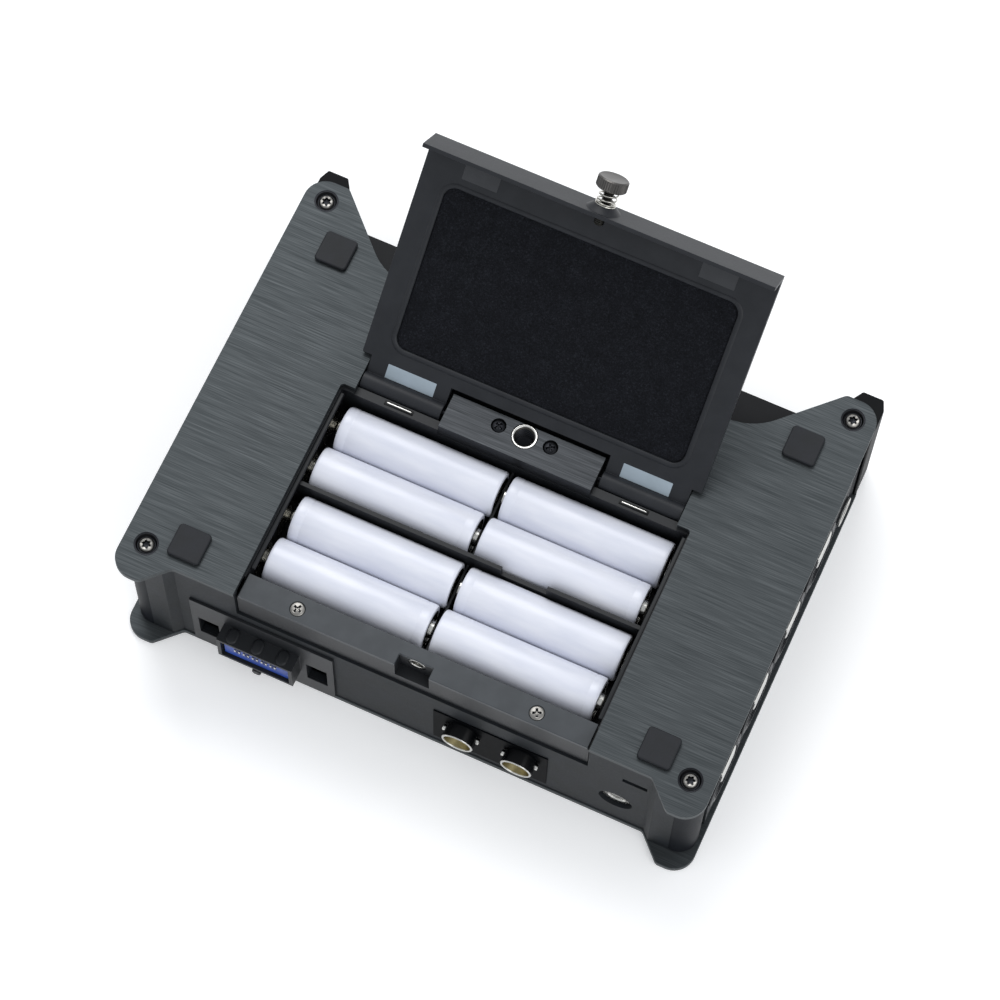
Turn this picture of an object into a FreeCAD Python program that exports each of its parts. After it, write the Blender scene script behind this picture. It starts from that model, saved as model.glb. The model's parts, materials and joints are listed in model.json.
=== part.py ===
import FreeCAD, Part
import math
import os
import re
import Sketcher
from types import SimpleNamespace
from FreeCAD import Placement, Rotation, Vector

# A portable field recorder, lying upside down on its top cover with the battery door open.
# Millimetres. The origin is the middle of the four corner screws, on the top cover's outer face.
# +X is the long way, to the side with inputs 5 to 8. +Y points to the front panel, +Z to the underside.
# The door and its thumbscrew are drawn closed and then swung open about the hinge.

SIZES = [
    # alias, value, what it is
    ("half_width", 89.1, "half of the overall width"),
    ("rear_edge", 62.0, "rear edge of both covers, between the ears"),
    ("rear_ear", 69.2, "rear end of the rear ears"),
    ("rear_slant_x", 72.5, "where the rear edge turns out to the ear"),
    ("front_edge", 44.0, "front edge of the bottom plate, between the ears"),
    ("front_ear", 64.7, "front end of the front ears"),
    ("front_slant_x", 57.2, "where the bottom plate's front edge turns out to the ear"),
    ("slant_sweep", 18.0, "radius of the sweep into the front slant"),
    ("ear_corner", 6.5, "outer corner radius of an ear"),
    ("ear_inner_corner", 2.0, "inner corner radius of an ear"),
    ("body_height", 52.8, "top cover's face to bottom plate's face"),
    ("plate_thickness", 2.0, "bottom plate"),
    ("cover_thickness", 2.1, "top cover"),
    ("panel_thickness", 2.0, "side, rear and front panels"),
    ("side_face", 87.8, "outer face of the side panels"),
    ("rear_face", 61.6, "outer face of the rear panel"),
    ("front_face", 54.5, "outer face of the front panel"),
    ("seam", 0.1, "gap where two housings meet without touching"),
    # corners
    ("screw_x", 82.3, "corner screws, sideways"),
    ("screw_y", 58.4, "corner screws, front to back"),
    ("post_radius", 5.6, "corner post"),
    ("screw_head_radius", 2.4, "corner screw head"),
    ("screw_head_height", 1.0, "corner screw head"),
    ("screw_radius", 1.45, "corner screw shank"),
    ("screw_length", 9.0, "corner screw under its head"),
    ("screw_play", 0.05, "corner screw in its post"),
    ("dish_radius", 3.5, "dished ring round a corner screw"),
    ("dish_depth", 1.2, "dished ring round a corner screw"),
    ("bumper_inner", 79.3, "front bumper, inner side"),
    ("bumper_outer", 88.9, "front bumper, outer side"),
    ("bumper_front", 70.7, "front bumper, front face"),
    ("bumper_slant", 3.2, "front bumper's slanted sides, front to back"),
    ("bumper_inner_slant", 2.0, "front bumper's inner side, sideways"),
    ("bumper_outer_slant", 1.3, "front bumper's outer side, sideways"),
    ("bumper_corner", 0.7, "front bumper's rounded corners"),
    ("bumper_drop", 6.5, "front bumper's end below the bottom plate's face"),
    # feet
    ("foot_side", 9.9, "rubber foot"),
    ("foot_thickness", 1.5, "rubber foot"),
    ("foot_corner", 1.2, "rubber foot"),
    ("foot_rear_x", 71.1, "rear feet, sideways"),
    ("foot_rear_y", 53.9, "rear feet, behind the origin"),
    ("foot_front_x", 72.7, "front feet, sideways"),
    ("foot_front_y", 44.8, "front feet, in front of the origin"),
    # batteries, size AA
    ("cell_radius", 7.0, "battery"),
    ("cell_length", 50.5, "battery over its contact"),
    ("cell_nub_radius", 2.7, "battery's raised contact"),
    ("cell_nub_height", 1.2, "battery's raised contact"),
    ("cell_gap", 0.9, "between two batteries end to end"),
    ("cell_drop", 3.7, "battery's top below the bottom plate's face"),
    ("cell_depth", "=cell_drop + cell_radius", "battery's axis below the bottom plate's face"),
    # battery bay
    ("bay_half_width", 53.4, "battery bay, inside"),
    ("bay_front", 7.6, "battery bay's front wall, inside"),
    ("row_wall_gap", 0.9, "first row from the bay's front wall"),
    ("row_gap", 0.3, "between the batteries of a pair of rows"),
    ("row_pair_gap", 1.9, "between the batteries either side of the rib"),
    ("row_rear_gap", 1.7, "last row from the bay's rear wall"),
    ("row_front_y", "=bay_front - row_wall_gap - cell_radius", "first row's axis"),
    ("row_pitch", "=2 * cell_radius + row_gap", "between the two rows of a pair"),
    ("row_pair_pitch", "=row_pitch + 2 * cell_radius + row_pair_gap", "between the two pairs of rows"),
    (
        "bay_rear", "=row_pair_pitch + row_pitch + cell_radius + row_rear_gap - row_front_y",
        "battery bay's rear wall, inside",
    ),
    ("bay_wall", 1.5, "battery tray's walls and floor"),
    ("floor_gap", 0.35, "under the batteries"),
    ("divider", 1.2, "rib between the two pairs of rows"),
    ("divider_drop", 4.0, "rib's edge below the bottom plate's face"),
    ("finger_drop", 3.5, "how much lower the rib is at its finger notch"),
    ("finger_x", 10.0, "where the rib's finger notch starts"),
    ("finger_length", 13.9, "rib's finger notch"),
    ("end_rib", 0.7, "rib between batteries end to end"),
    ("contact_thickness", 0.4, "battery contact plates"),
    ("contact_gap", 0.3, "from a battery to its contact"),
    ("coil_radius", 3.1, "battery contact spring"),
    ("coil_wire", 0.7, "battery contact spring"),
    # battery door
    ("door_half_width", 52.3, "battery door"),
    ("door_thickness", 2.2, "battery door's panel"),
    ("flange_face", 62.3, "outer face of the door's rear flange, closed"),
    ("flange_thickness", 1.2, "door's rear flange"),
    ("flange_height", 11.8, "door's rear flange from the panel's outer face"),
    ("flange_room", 4.0, "free height past the flange's edge"),
    ("wing_inner", 24.6, "hinge wing, towards the tripod mount"),
    ("wing_outer", 49.4, "hinge wing, outer side"),
    ("hinge_y", 13.2, "hinge axis"),
    ("hinge_depth", 3.0, "hinge axis below the bottom plate's face"),
    ("knuckle_radius", 2.6, "hinge knuckle"),
    ("pin_radius", 0.8, "hinge pin"),
    ("pin_play", 0.05, "hinge pin in its knuckle"),
    ("pin_hold", 1.6, "hinge pin's end in what holds it"),
    ("swing", 135.4, "degrees from closed to open"),
    ("cut_play", 0.2, "round the hinge wings"),
    (
        "door_front", "=hinge_y - hinge_depth * tan(swing / 2) - cut_play",
        "front edge of the panel, closed, so that it clears the bottom plate when open",
    ),
    ("bay_cut", 53.8, "half width of the bottom plate's cut-out at the bay"),
    ("bay_cut_front", 8.4, "front end of the bay's cut-out"),
    (
        "wing_cut_front", "=hinge_y + hinge_depth * tan(swing / 2) + cut_play",
        "front end of the hinge's cut-out, in front of the open door",
    ),
    ("lining_half_width", 44.3, "felt lining in the door"),
    ("lining_front", 0.6, "felt lining's front edge, closed"),
    ("lining_rear", 50.2, "felt lining's rear edge, closed"),
    ("lining_corner", 3.6, "felt lining's rounded corners"),
    ("lining_thickness", 0.7, "felt lining"),
    ("recess_depth", 1.1, "recess for the lining"),
    ("recess_play", 0.3, "recess round the lining"),
    # thumbscrew
    ("thumb_depth", 6.2, "thumbscrew's axis below the bottom plate's face, closed"),
    ("thumb_shank", 1.5, "thumbscrew's shank radius"),
    ("thumb_play", 0.1, "thumbscrew in the flange, clip and nut"),
    ("thumb_head_radius", 4.45, "thumbscrew's knurled head"),
    ("thumb_head_height", 3.4, "thumbscrew's knurled head"),
    ("boss_radius", 5.0, "flared boss on the flange, foot"),
    ("boss_top_radius", 3.1, "flared boss on the flange, top"),
    ("boss_height", 1.6, "flared boss on the flange"),
    ("spring_length", 4.7, "thumbscrew's spring at rest"),
    ("spring_outer", 2.9, "thumbscrew's spring, outer radius"),
    ("spring_wall", 0.5, "thumbscrew's spring wire"),
    ("clip_radius", 2.6, "retaining clip on the shank"),
    ("clip_thickness", 0.4, "retaining clip on the shank"),
    ("clip_gap", 0.1, "between the flange and the clip"),
    ("tip_gap", 0.3, "between the closed thumbscrew's tip and the nut"),
    ("nut_radius", 2.7, "nut insert"),
    ("nut_set_back", 3.4, "nut's face behind the block's face"),
    ("notch_half_width", 5.2, "notch in front of the nut"),
    # latch strip
    ("strip_half_width", 53.0, "strip between the bay and the rear panel"),
    ("strip_depth", 2.6, "strip's face below the bottom plate's face"),
    ("strip_thickness", 1.5, "strip"),
    ("block_face", 60.8, "rear face of the block under the strip"),
    ("strip_rear", 60.9, "rear edge of the strip"),
    ("strip_screw_x", 36.3, "strip's screws, sideways"),
    ("strip_screw_y", 57.5, "strip's screws, behind the origin"),
    ("small_head_radius", 2.2, "small screw head"),
    ("small_head_height", 0.8, "small screw head"),
    ("small_shank", 0.9, "small screw shank"),
    ("small_length", 3.6, "small screw under its head"),
    # tripod mount
    ("mount_half_width", 23.5, "tripod mount block"),
    ("mount_rear", 7.8, "tripod mount block's rear edge"),
    ("mount_front", 18.6, "tripod mount block's front edge"),
    ("knuckle_room", 0.4, "trough's floor below the knuckles"),
    ("mount_thickness", "=hinge_depth + knuckle_radius + knuckle_room", "tripod mount block"),
    ("bush_y", 15.0, "tripod bush"),
    ("bush_outer", 3.75, "tripod bush"),
    ("bush_bore", 2.6, "tripod bush's tapped hole, at the crests of a 1/4-20 thread"),
    ("bush_length", 8.0, "tripod bush"),
    ("bush_floor", 0.8, "tripod bush's closed end"),
    ("mount_screw_x", 8.0, "tripod mount's screws"),
    # rear connectors
    ("port_x", -46.3, "option port's middle"),
    ("port_level", 19.1, "option port's middle above the cover's face"),
    ("port_frame_half", 22.4, "option port's frame, half width"),
    ("port_frame_low", 2.4, "option port's frame, lower edge"),
    ("port_frame_high", 33.3, "option port's frame, upper edge"),
    ("port_frame_proud", 0.8, "option port's frame in front of the panel"),
    ("hood_half_width", 11.8, "option port's hood"),
    ("hood_half_height", 6.3, "option port's hood"),
    ("hood_wall", 1.2, "option port's hood"),
    ("hood_reach", 6.0, "option port's hood in front of the panel"),
    ("hood_back", 56.0, "option port's inner end"),
    ("insert_play", 0.5, "round the option port's insert"),
    ("insert_set_back", 1.0, "insert's face behind the hood's mouth"),
    ("clip_hole_x", 17.0, "option port's clip sockets from its middle"),
    ("clip_hole_half_width", 3.2, "option port's clip sockets"),
    ("clip_hole_low", 9.4, "option port's clip sockets, lower edge"),
    ("clip_hole_high", 20.8, "option port's clip sockets, upper edge"),
    ("lock_level", 10.4, "option port's release button above the cover's face"),
    ("lock_radius", 1.4, "option port's release button"),
    ("lock_reach", 6.1, "release button in front of the panel"),
    ("button_play", 0.1, "round each round button"),
    ("sync_left", 7.0, "sync panel's edge"),
    ("sync_right", 42.2, "sync panel's edge"),
    ("sync_low", 5.8, "sync panel's edge"),
    ("sync_high", 28.2, "sync panel's edge"),
    ("sync_proud", 0.4, "sync panel's thickness"),
    ("sync_first_x", 16.2, "first bayonet jack"),
    ("sync_pitch", 18.1, "between the bayonet jacks"),
    ("sync_level", 21.0, "bayonet jacks above the cover's face"),
    ("sync_barrel", 4.85, "bayonet jack's barrel"),
    ("sync_bore", 4.05, "bayonet jack's bore"),
    ("sync_reach", 4.6, "bayonet jack in front of the panel"),
    ("sync_back", 53.5, "bayonet jack's inner end"),
    ("lug_radius", 0.95, "bayonet lug"),
    ("lug_reach", 5.6, "bayonet lugs from the jack's axis"),
    ("dc_x", 63.1, "power inlet"),
    ("dc_level", 17.5, "power inlet above the cover's face"),
    ("dc_hole", 5.1, "power inlet's hole in the panel"),
    ("dc_bore", 4.7, "power inlet's bore"),
    ("dc_outer", 5.6, "power inlet's body"),
    ("dc_back", 48.5, "power inlet's inner end"),
    ("usb_x", 68.0, "data socket"),
    ("usb_level", 38.0, "data socket above the cover's face"),
    ("usb_half_width", 3.6, "data socket's shell"),
    ("usb_half_height", 1.1, "data socket's shell"),
    ("usb_wall", 0.35, "data socket's shell"),
    ("usb_back", 55.0, "data socket's inner end"),
    # side jacks
    ("jack_first_y", -43.6, "rearmost input jack"),
    ("jack_pitch", 23.3, "between the input jacks"),
    ("jack_level", 26.4, "input jacks above the cover's face"),
    ("jack_barrel", 9.9, "input jack's barrel"),
    ("jack_rim", 1.1, "input jack's bezel past its barrel"),
    ("jack_wall", 1.5, "input jack's barrel round its socket"),
    ("jack_bezel", "=jack_barrel + jack_rim", "input jack's bezel"),
    ("jack_socket", "=jack_barrel - jack_wall", "input jack's socket"),
    ("jack_proud", 0.8, "input jack's bezel on the panel"),
    ("jack_inner", 70.0, "input jack's inner end"),
    ("jack_floor", 2.0, "input jack's floor"),
    ("phones_y", 46.5, "phones jack"),
    ("phones_level", 16.0, "phones jack above the cover's face"),
    ("phones_bore", 3.2, "phones jack's bore, for a 6.35 mm plug"),
    ("phones_barrel", 4.6, "phones jack's barrel"),
    ("phones_inner", 78.0, "phones jack's inner end"),
    ("card_y", 43.5, "first memory card slot"),
    ("card_pitch", 5.0, "between the memory card slots"),
    ("card_thickness", 2.6, "memory card slot"),
    ("card_low", 14.0, "memory card slot's lower end"),
    ("card_high", 39.0, "memory card slot's upper end"),
    # front panel
    ("front_panel_half", 78.1, "front panel"),
    ("lip_thickness", 1.8, "front panel's lip under the bottom plate"),
    ("lip_rear", 40.0, "front panel's lip, rear edge"),
    ("trim_first_x", -70.0, "first trim knob"),
    ("trim_pitch", 12.2, "between the trim knobs"),
    ("trim_level", 35.0, "trim knobs above the cover's face"),
    ("trim_radius", 4.4, "trim knob"),
    ("knob_length", 4.6, "trim knobs and phones knob"),
    ("dial_length", 9.0, "menu dial"),
    ("knob_gap", 0.5, "between a knob and the panel"),
    ("spindle_radius", 1.5, "knob spindle"),
    ("spindle_play", 0.08, "knob spindle in its pot"),
    ("spindle_length", 7.5, "knob spindle behind the knob"),
    ("pot_radius", 4.2, "pot behind each knob"),
    ("dial_x", 71.2, "menu dial, phones knob and power key, sideways"),
    ("dial_level", 14.0, "menu dial above the cover's face"),
    ("dial_radius", 4.4, "menu dial"),
    ("phones_knob_level", 30.0, "phones knob above the cover's face"),
    ("phones_knob_radius", 3.9, "phones knob"),
    ("power_level", 43.5, "power key above the cover's face"),
    ("power_radius", 2.8, "power key"),
    ("key_level", 45.0, "transport keys above the cover's face"),
    ("key_first_x", 26.5, "first transport key"),
    ("key_pitch", 9.2, "between the transport keys"),
    ("key_half_width", 3.6, "transport key"),
    ("key_half_height", 2.4, "transport key"),
    ("key_proud", 1.6, "transport key in front of the panel"),
    ("key_back", 50.5, "transport key's inner end"),
    ("key_play", 0.15, "round each transport key"),
    ("key_travel", 0.8, "transport and power keys' travel"),
    ("pad_level", 18.0, "track keys above the cover's face"),
    ("pad_half_width", 4.0, "track key"),
    ("pad_half_height", 2.5, "track key"),
    ("pad_proud", 1.1, "track key in front of the panel"),
    ("pad_sheet", 1.1, "keypad's sheet behind the panel"),
    ("screen_left", 23.5, "display window"),
    ("screen_right", 65.5, "display window"),
    ("screen_low", 7.5, "display window"),
    ("screen_high", 37.5, "display window"),
    ("screen_thickness", 1.4, "display window"),
    # circuit boards
    ("board_level", 20.0, "main board above the cover's face"),
    ("board_thickness", 1.6, "circuit boards"),
    ("board_half_width", 66.0, "main board"),
    ("board_rear", 46.0, "main board's rear edge, behind the origin"),
    ("board_front", 43.0, "main board's front edge"),
    ("boss_x", 60.0, "main board's bosses"),
    ("boss_y", 38.0, "main board's bosses"),
    ("board_boss_radius", 3.0, "main board's bosses"),
    ("control_board", 45.6, "control board's front face"),
    ("control_half_width", 76.5, "control board"),
]

TRACKS = 8
JACKS_A_SIDE = 4
TRANSPORT = ["back_key", "record_key", "stop_key", "play_key", "forward_key"]

document = FreeCAD.newDocument("field_recorder")
sheet = document.addObject("Spreadsheet::Sheet", "Sizes")
for row, (alias, value, note) in enumerate(SIZES, start=1):
    sheet.set(f"A{row}", alias)
    sheet.set(f"B{row}", str(value))
    sheet.set(f"C{row}", note)
    sheet.setAlias(f"B{row}", alias)
document.recompute()
ALIASES = [alias for alias, value, note in SIZES]
size = SimpleNamespace(**{alias: float(sheet.get(alias)) for alias in ALIASES})
subparts = []


def bind(thing, prop, formula):
    """Ties a property to a formula over the sheet's aliases."""
    text = re.sub(r"[a-z][a-z_]*", lambda m: f"Sizes.{m[0]}" if m[0] in ALIASES else m[0], formula)
    thing.setExpression(prop, text)


def place(thing, x="0", y="0", z="0"):
    """Ties where an object stands to three formulas."""
    for axis, formula in zip("xyz", (x, y, z)):
        bind(thing, f"Placement.Base.{axis}", formula)
    return thing


TURNS = {
    "+z": Rotation(),
    "-z": Rotation(Vector(1, 0, 0), 180),
    "+y": Rotation(Vector(1, 0, 0), -90),
    "-y": Rotation(Vector(1, 0, 0), 90),
    "+x": Rotation(Vector(0, 1, 0), 90),
    "-x": Rotation(Vector(0, 1, 0), -90),
}


def block(name, x, y, z):
    """A box between a low and a high formula along each axis."""
    box = document.addObject("Part::Box", name)
    for prop, (low, high) in zip(("Length", "Width", "Height"), (x, y, z)):
        bind(box, prop, f"({high}) - ({low})")
    return place(box, x[0], y[0], z[0])


def rod(name, radius, length, at, towards="+z"):
    """A cylinder from a point, pointing along an axis."""
    cylinder = document.addObject("Part::Cylinder", name)
    cylinder.Placement = Placement(Vector(), TURNS[towards])
    bind(cylinder, "Radius", radius)
    bind(cylinder, "Height", length)
    return place(cylinder, *at)


def joined(name, *shapes):
    """One solid out of overlapping or touching ones."""
    if len(shapes) == 1:
        return shapes[0]
    union = document.addObject("Part::MultiFuse", name)
    union.Shapes = list(shapes)
    union.Refine = True
    return union


def without(name, base, *tools):
    """A solid with others cut out of it."""
    difference = document.addObject("Part::Cut", name)
    difference.Base = base
    difference.Tool = joined(name + "_tools", *tools)
    return difference


def group(name, *solids):
    """Separate solids of one sub-part."""
    compound = document.addObject("Part::Compound", name)
    compound.Links = list(solids)
    return compound


def subpart(label, thing):
    """Names a finished sub-part."""
    thing.Label = label
    subparts.append(thing)
    return thing


def swung(thing):
    """Swings something drawn on the closed door to the open position."""
    thing.Placement = Placement(Vector(), Rotation(Vector(1, 0, 0), -size.swing))
    bind(thing, "Placement.Rotation.Angle", "0 - swing")
    hinge_level = "(body_height - hinge_depth)"
    place(
        thing,
        "0",
        f"hinge_y - hinge_y * cos(swing) - {hinge_level} * sin(swing)",
        f"{hinge_level} + hinge_y * sin(swing) - {hinge_level} * cos(swing)",
    )
    return thing


def plane_of(body, role):
    return [feature for feature in body.Origin.OriginFeatures if feature.Role == role][0]


def new_sketch(body, name, role="XY_Plane", level="0"):
    """A sketch on one of the body's own planes, lifted by a formula."""
    sketch = body.newObject("Sketcher::SketchObject", name)
    sketch.AttachmentSupport = (plane_of(body, role), [""])
    sketch.MapMode = "FlatFace"
    bind(sketch, "AttachmentOffset.Base.z", level)
    return sketch


def draw_outline(sketch, corners):
    """Draws a closed outline from (x, y, corner radius), with tangent arcs at the round corners."""
    count = len(corners)
    ends = []
    arcs = []
    for index, (x, y, radius) in enumerate(corners):
        here = Vector(x, y, 0)
        before = Vector(*corners[index - 1][:2], 0)
        after = Vector(*corners[(index + 1) % count][:2], 0)
        back = (before - here).normalize()
        ahead = (after - here).normalize()
        if radius == 0:
            ends.append((here, here))
            continue
        half_angle = back.getAngle(ahead) / 2
        reach = radius / math.tan(half_angle)
        start = here + back * reach
        finish = here + ahead * reach
        bisector = (back + ahead).normalize()
        centre = here + bisector * (reach**2 + radius**2) ** 0.5
        middle = centre - bisector * radius
        arcs.append(Part.Arc(start, middle, finish))
        ends.append((start, finish))
    for index in range(count):
        start = ends[index][1]
        finish = ends[(index + 1) % count][0]
        if (finish - start).Length > 1e-6:
            sketch.addGeometry(Part.LineSegment(start, finish), False)
    for arc in arcs:
        sketch.addGeometry(arc, False)


def draw_circle(sketch, x, y, radius_alias):
    """A circle whose radius follows the sheet."""
    edge = sketch.addGeometry(Part.Circle(Vector(x, y, 0), Vector(0, 0, 1), 1.0), False)
    row = sketch.addConstraint(Sketcher.Constraint("Radius", edge, getattr(size, radius_alias)))
    bind(sketch, f"Constraints[{row}]", radius_alias)


def pad(body, sketch, name, length):
    feature = body.newObject("PartDesign::Pad", name)
    feature.Profile = sketch
    bind(feature, "Length", length)
    body.Tip = feature
    return feature


def pocket(body, sketch, name, depth, upwards=False):
    """Cuts a sketch into its body, away from the sketch's normal unless upwards is set."""
    document.recompute()
    volume = body.Shape.Volume
    feature = body.newObject("PartDesign::Pocket", name)
    feature.Profile = sketch
    bind(feature, "Length", depth)
    feature.Reversed = upwards
    body.Tip = feature
    document.recompute()
    if not body.Shape.Volume < volume:
        raise RuntimeError(f"{name} cuts nothing")
    return feature


def turned(name, profile, at, towards="+z"):
    """A turned piece from (radius, height) points, pointing along an axis."""
    body = document.addObject("PartDesign::Body", name)
    sketch = new_sketch(body, name + "_profile", "XZ_Plane")
    draw_outline(sketch, [(radius, height, 0) for radius, height in profile])
    feature = body.newObject("PartDesign::Revolution", name + "_turn")
    feature.Profile = sketch
    feature.ReferenceAxis = (sketch, ["V_Axis"])
    feature.Angle = 360
    body.Tip = feature
    body.Placement = Placement(Vector(), TURNS[towards])
    return place(body, *at)


def mirrored(right_half):
    """The full outline of which the right half is given from back to front."""
    left_half = [(-x, y, radius) for x, y, radius in reversed(right_half)]
    return right_half + left_half


CORNERS = [(sx, sy) for sx in ("0 - ", "") for sy in ("0 - ", "")]
PLATE_UNDER = "(body_height - plate_thickness)"


# ---------------------------------------------------------------- covers
def cover_outline(front, slant_x, sweep):
    ear_x = slant_x + size.front_ear - front
    rear_ear_x = size.rear_slant_x + size.rear_ear - size.rear_edge
    inner = size.ear_inner_corner
    return mirrored([
        (size.rear_slant_x, -size.rear_edge, inner),
        (rear_ear_x, -size.rear_ear, inner),
        (size.half_width, -size.rear_ear, size.ear_corner),
        (size.half_width, size.front_ear, size.ear_corner),
        (ear_x, size.front_ear, inner),
        (slant_x, front, sweep),
    ])


def make_bottom_plate():
    body = document.addObject("PartDesign::Body", "bottom_plate_body")
    outline = new_sketch(body, "bottom_plate_outline", level=PLATE_UNDER)
    draw_outline(outline, cover_outline(size.front_edge, size.front_slant_x, size.slant_sweep))
    pad(body, outline, "bottom_plate_pad", "plate_thickness")
    cut = new_sketch(body, "bottom_plate_cut", level="body_height")
    wing = size.wing_outer + size.cut_play
    inner = size.ear_inner_corner / 2
    draw_outline(cut, mirrored([
        (size.bay_cut, -size.rear_ear, 0),
        (size.bay_cut, size.bay_cut_front, inner),
        (wing, size.bay_cut_front, 0),
        (wing, size.wing_cut_front, inner),
    ]))
    pocket(body, cut, "bottom_plate_opening", "2 * plate_thickness")
    holes = new_sketch(body, "bottom_plate_holes", level="body_height")
    dishes = new_sketch(body, "bottom_plate_dishes", level="body_height")
    for x in (-size.screw_x, size.screw_x):
        for y in (-size.screw_y, size.screw_y):
            draw_circle(holes, x, y, "screw_head_radius")
            draw_circle(dishes, x, y, "dish_radius")
    pocket(body, holes, "bottom_plate_screw_holes", "2 * plate_thickness")
    pocket(body, dishes, "bottom_plate_dishing", "dish_depth")
    subpart("bottom_plate", body)


def make_top_cover():
    body = document.addObject("PartDesign::Body", "top_cover_body")
    outline = new_sketch(body, "top_cover_outline")
    slant_x = size.front_slant_x + size.front_face - size.front_edge
    draw_outline(outline, cover_outline(size.front_face, slant_x, size.ear_inner_corner))
    pad(body, outline, "top_cover_pad", "cover_thickness")
    bosses = new_sketch(body, "top_cover_bosses", level="cover_thickness")
    for x in (-size.boss_x, size.boss_x):
        for y in (-size.boss_y, size.boss_y):
            draw_circle(bosses, x, y, "board_boss_radius")
    pad(body, bosses, "top_cover_boss_pad", "board_level - cover_thickness")
    holes = new_sketch(body, "top_cover_holes")
    dishes = new_sketch(body, "top_cover_dishes")
    for x in (-size.screw_x, size.screw_x):
        for y in (-size.screw_y, size.screw_y):
            draw_circle(holes, x, y, "screw_head_radius")
            draw_circle(dishes, x, y, "dish_radius")
    pocket(body, holes, "top_cover_screw_holes", "2 * cover_thickness", upwards=True)
    pocket(body, dishes, "top_cover_dishing", "dish_depth", upwards=True)
    subpart("top_cover", body)


def make_corners():
    posts = []
    screws = []
    for index, (sx, sy) in enumerate(CORNERS):
        x = f"{sx}screw_x"
        y = f"{sy}screw_y"
        post = rod(f"post_{index}", "post_radius", f"{PLATE_UNDER} - cover_thickness", (x, y, "cover_thickness"))
        bore = rod(f"post_bore_{index}", "screw_radius + screw_play", "body_height", (x, y, "0"))
        posts.append(without(f"corner_post_{index}", post, bore))
        lower_head = rod(
            f"cover_head_{index}", "screw_head_radius", "screw_head_height",
            (x, y, "cover_thickness - screw_head_height"),
        )
        lower_shank = rod(f"cover_shank_{index}", "screw_radius", "screw_length", (x, y, "cover_thickness"))
        upper_head = rod(f"plate_head_{index}", "screw_head_radius", "screw_head_height", (x, y, PLATE_UNDER))
        upper_shank = rod(f"plate_shank_{index}", "screw_radius", "screw_length", (x, y, PLATE_UNDER), "-z")
        screws.append(joined(f"cover_screw_{index}", lower_head, lower_shank))
        screws.append(joined(f"plate_screw_{index}", upper_head, upper_shank))
    subpart("corner_posts", group("corner_posts_group", *posts))
    subpart("cover_screws", group("cover_screws_group", *screws))


def make_bumpers():
    bumpers = []
    slant_start = size.bumper_front - size.bumper_slant
    for side, sign in enumerate((-1, 1)):
        body = document.addObject("PartDesign::Body", f"bumper_body_{side}")
        outline = new_sketch(body, f"bumper_outline_{side}", level="cover_thickness")
        corners = [
            (size.bumper_inner, size.screw_y, 0),
            (size.bumper_outer, size.screw_y, 0),
            (size.bumper_outer, slant_start, 0),
            (size.bumper_outer - size.bumper_outer_slant, size.bumper_front, size.bumper_corner),
            (size.bumper_inner + size.bumper_inner_slant, size.bumper_front, size.bumper_corner),
            (size.bumper_inner, slant_start, 0),
        ]
        draw_outline(outline, [(sign * x, y, corner) for x, y, corner in corners])
        pad(body, outline, f"bumper_pad_{side}", "body_height - bumper_drop - cover_thickness")
        x = "screw_x" if sign > 0 else "0 - screw_x"
        hollow = rod(f"bumper_hollow_{side}", "post_radius + seam", "body_height", (x, "screw_y", "0"))
        bumpers.append(without(f"bumper_{side}", body, hollow))
    subpart("front_bumpers", group("front_bumpers_group", *bumpers))


def make_feet():
    feet = []
    half = size.foot_side / 2
    corners = [(-half, -half), (half, -half), (half, half), (-half, half)]
    for index, (sx, sy) in enumerate(CORNERS):
        body = document.addObject("PartDesign::Body", f"foot_{index}")
        outline = new_sketch(body, f"foot_outline_{index}")
        draw_outline(outline, [(x, y, size.foot_corner) for x, y in corners])
        pad(body, outline, f"foot_pad_{index}", "foot_thickness")
        row = "rear" if sy else "front"
        feet.append(place(body, f"{sx}foot_{row}_x", f"{sy}foot_{row}_y", "body_height"))
    subpart("rubber_feet", group("rubber_feet_group", *feet))


# ---------------------------------------------------------------- panels
def post_hollows(name, which):
    hollows = []
    for index, (sx, sy) in enumerate(CORNERS):
        if which == "rear" and sy or which == "front" and not sy:
            at = (f"{sx}screw_x", f"{sy}screw_y", "0")
            hollows.append(rod(f"{name}_post_{index}", "post_radius + seam", "body_height", at))
    return hollows


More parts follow.
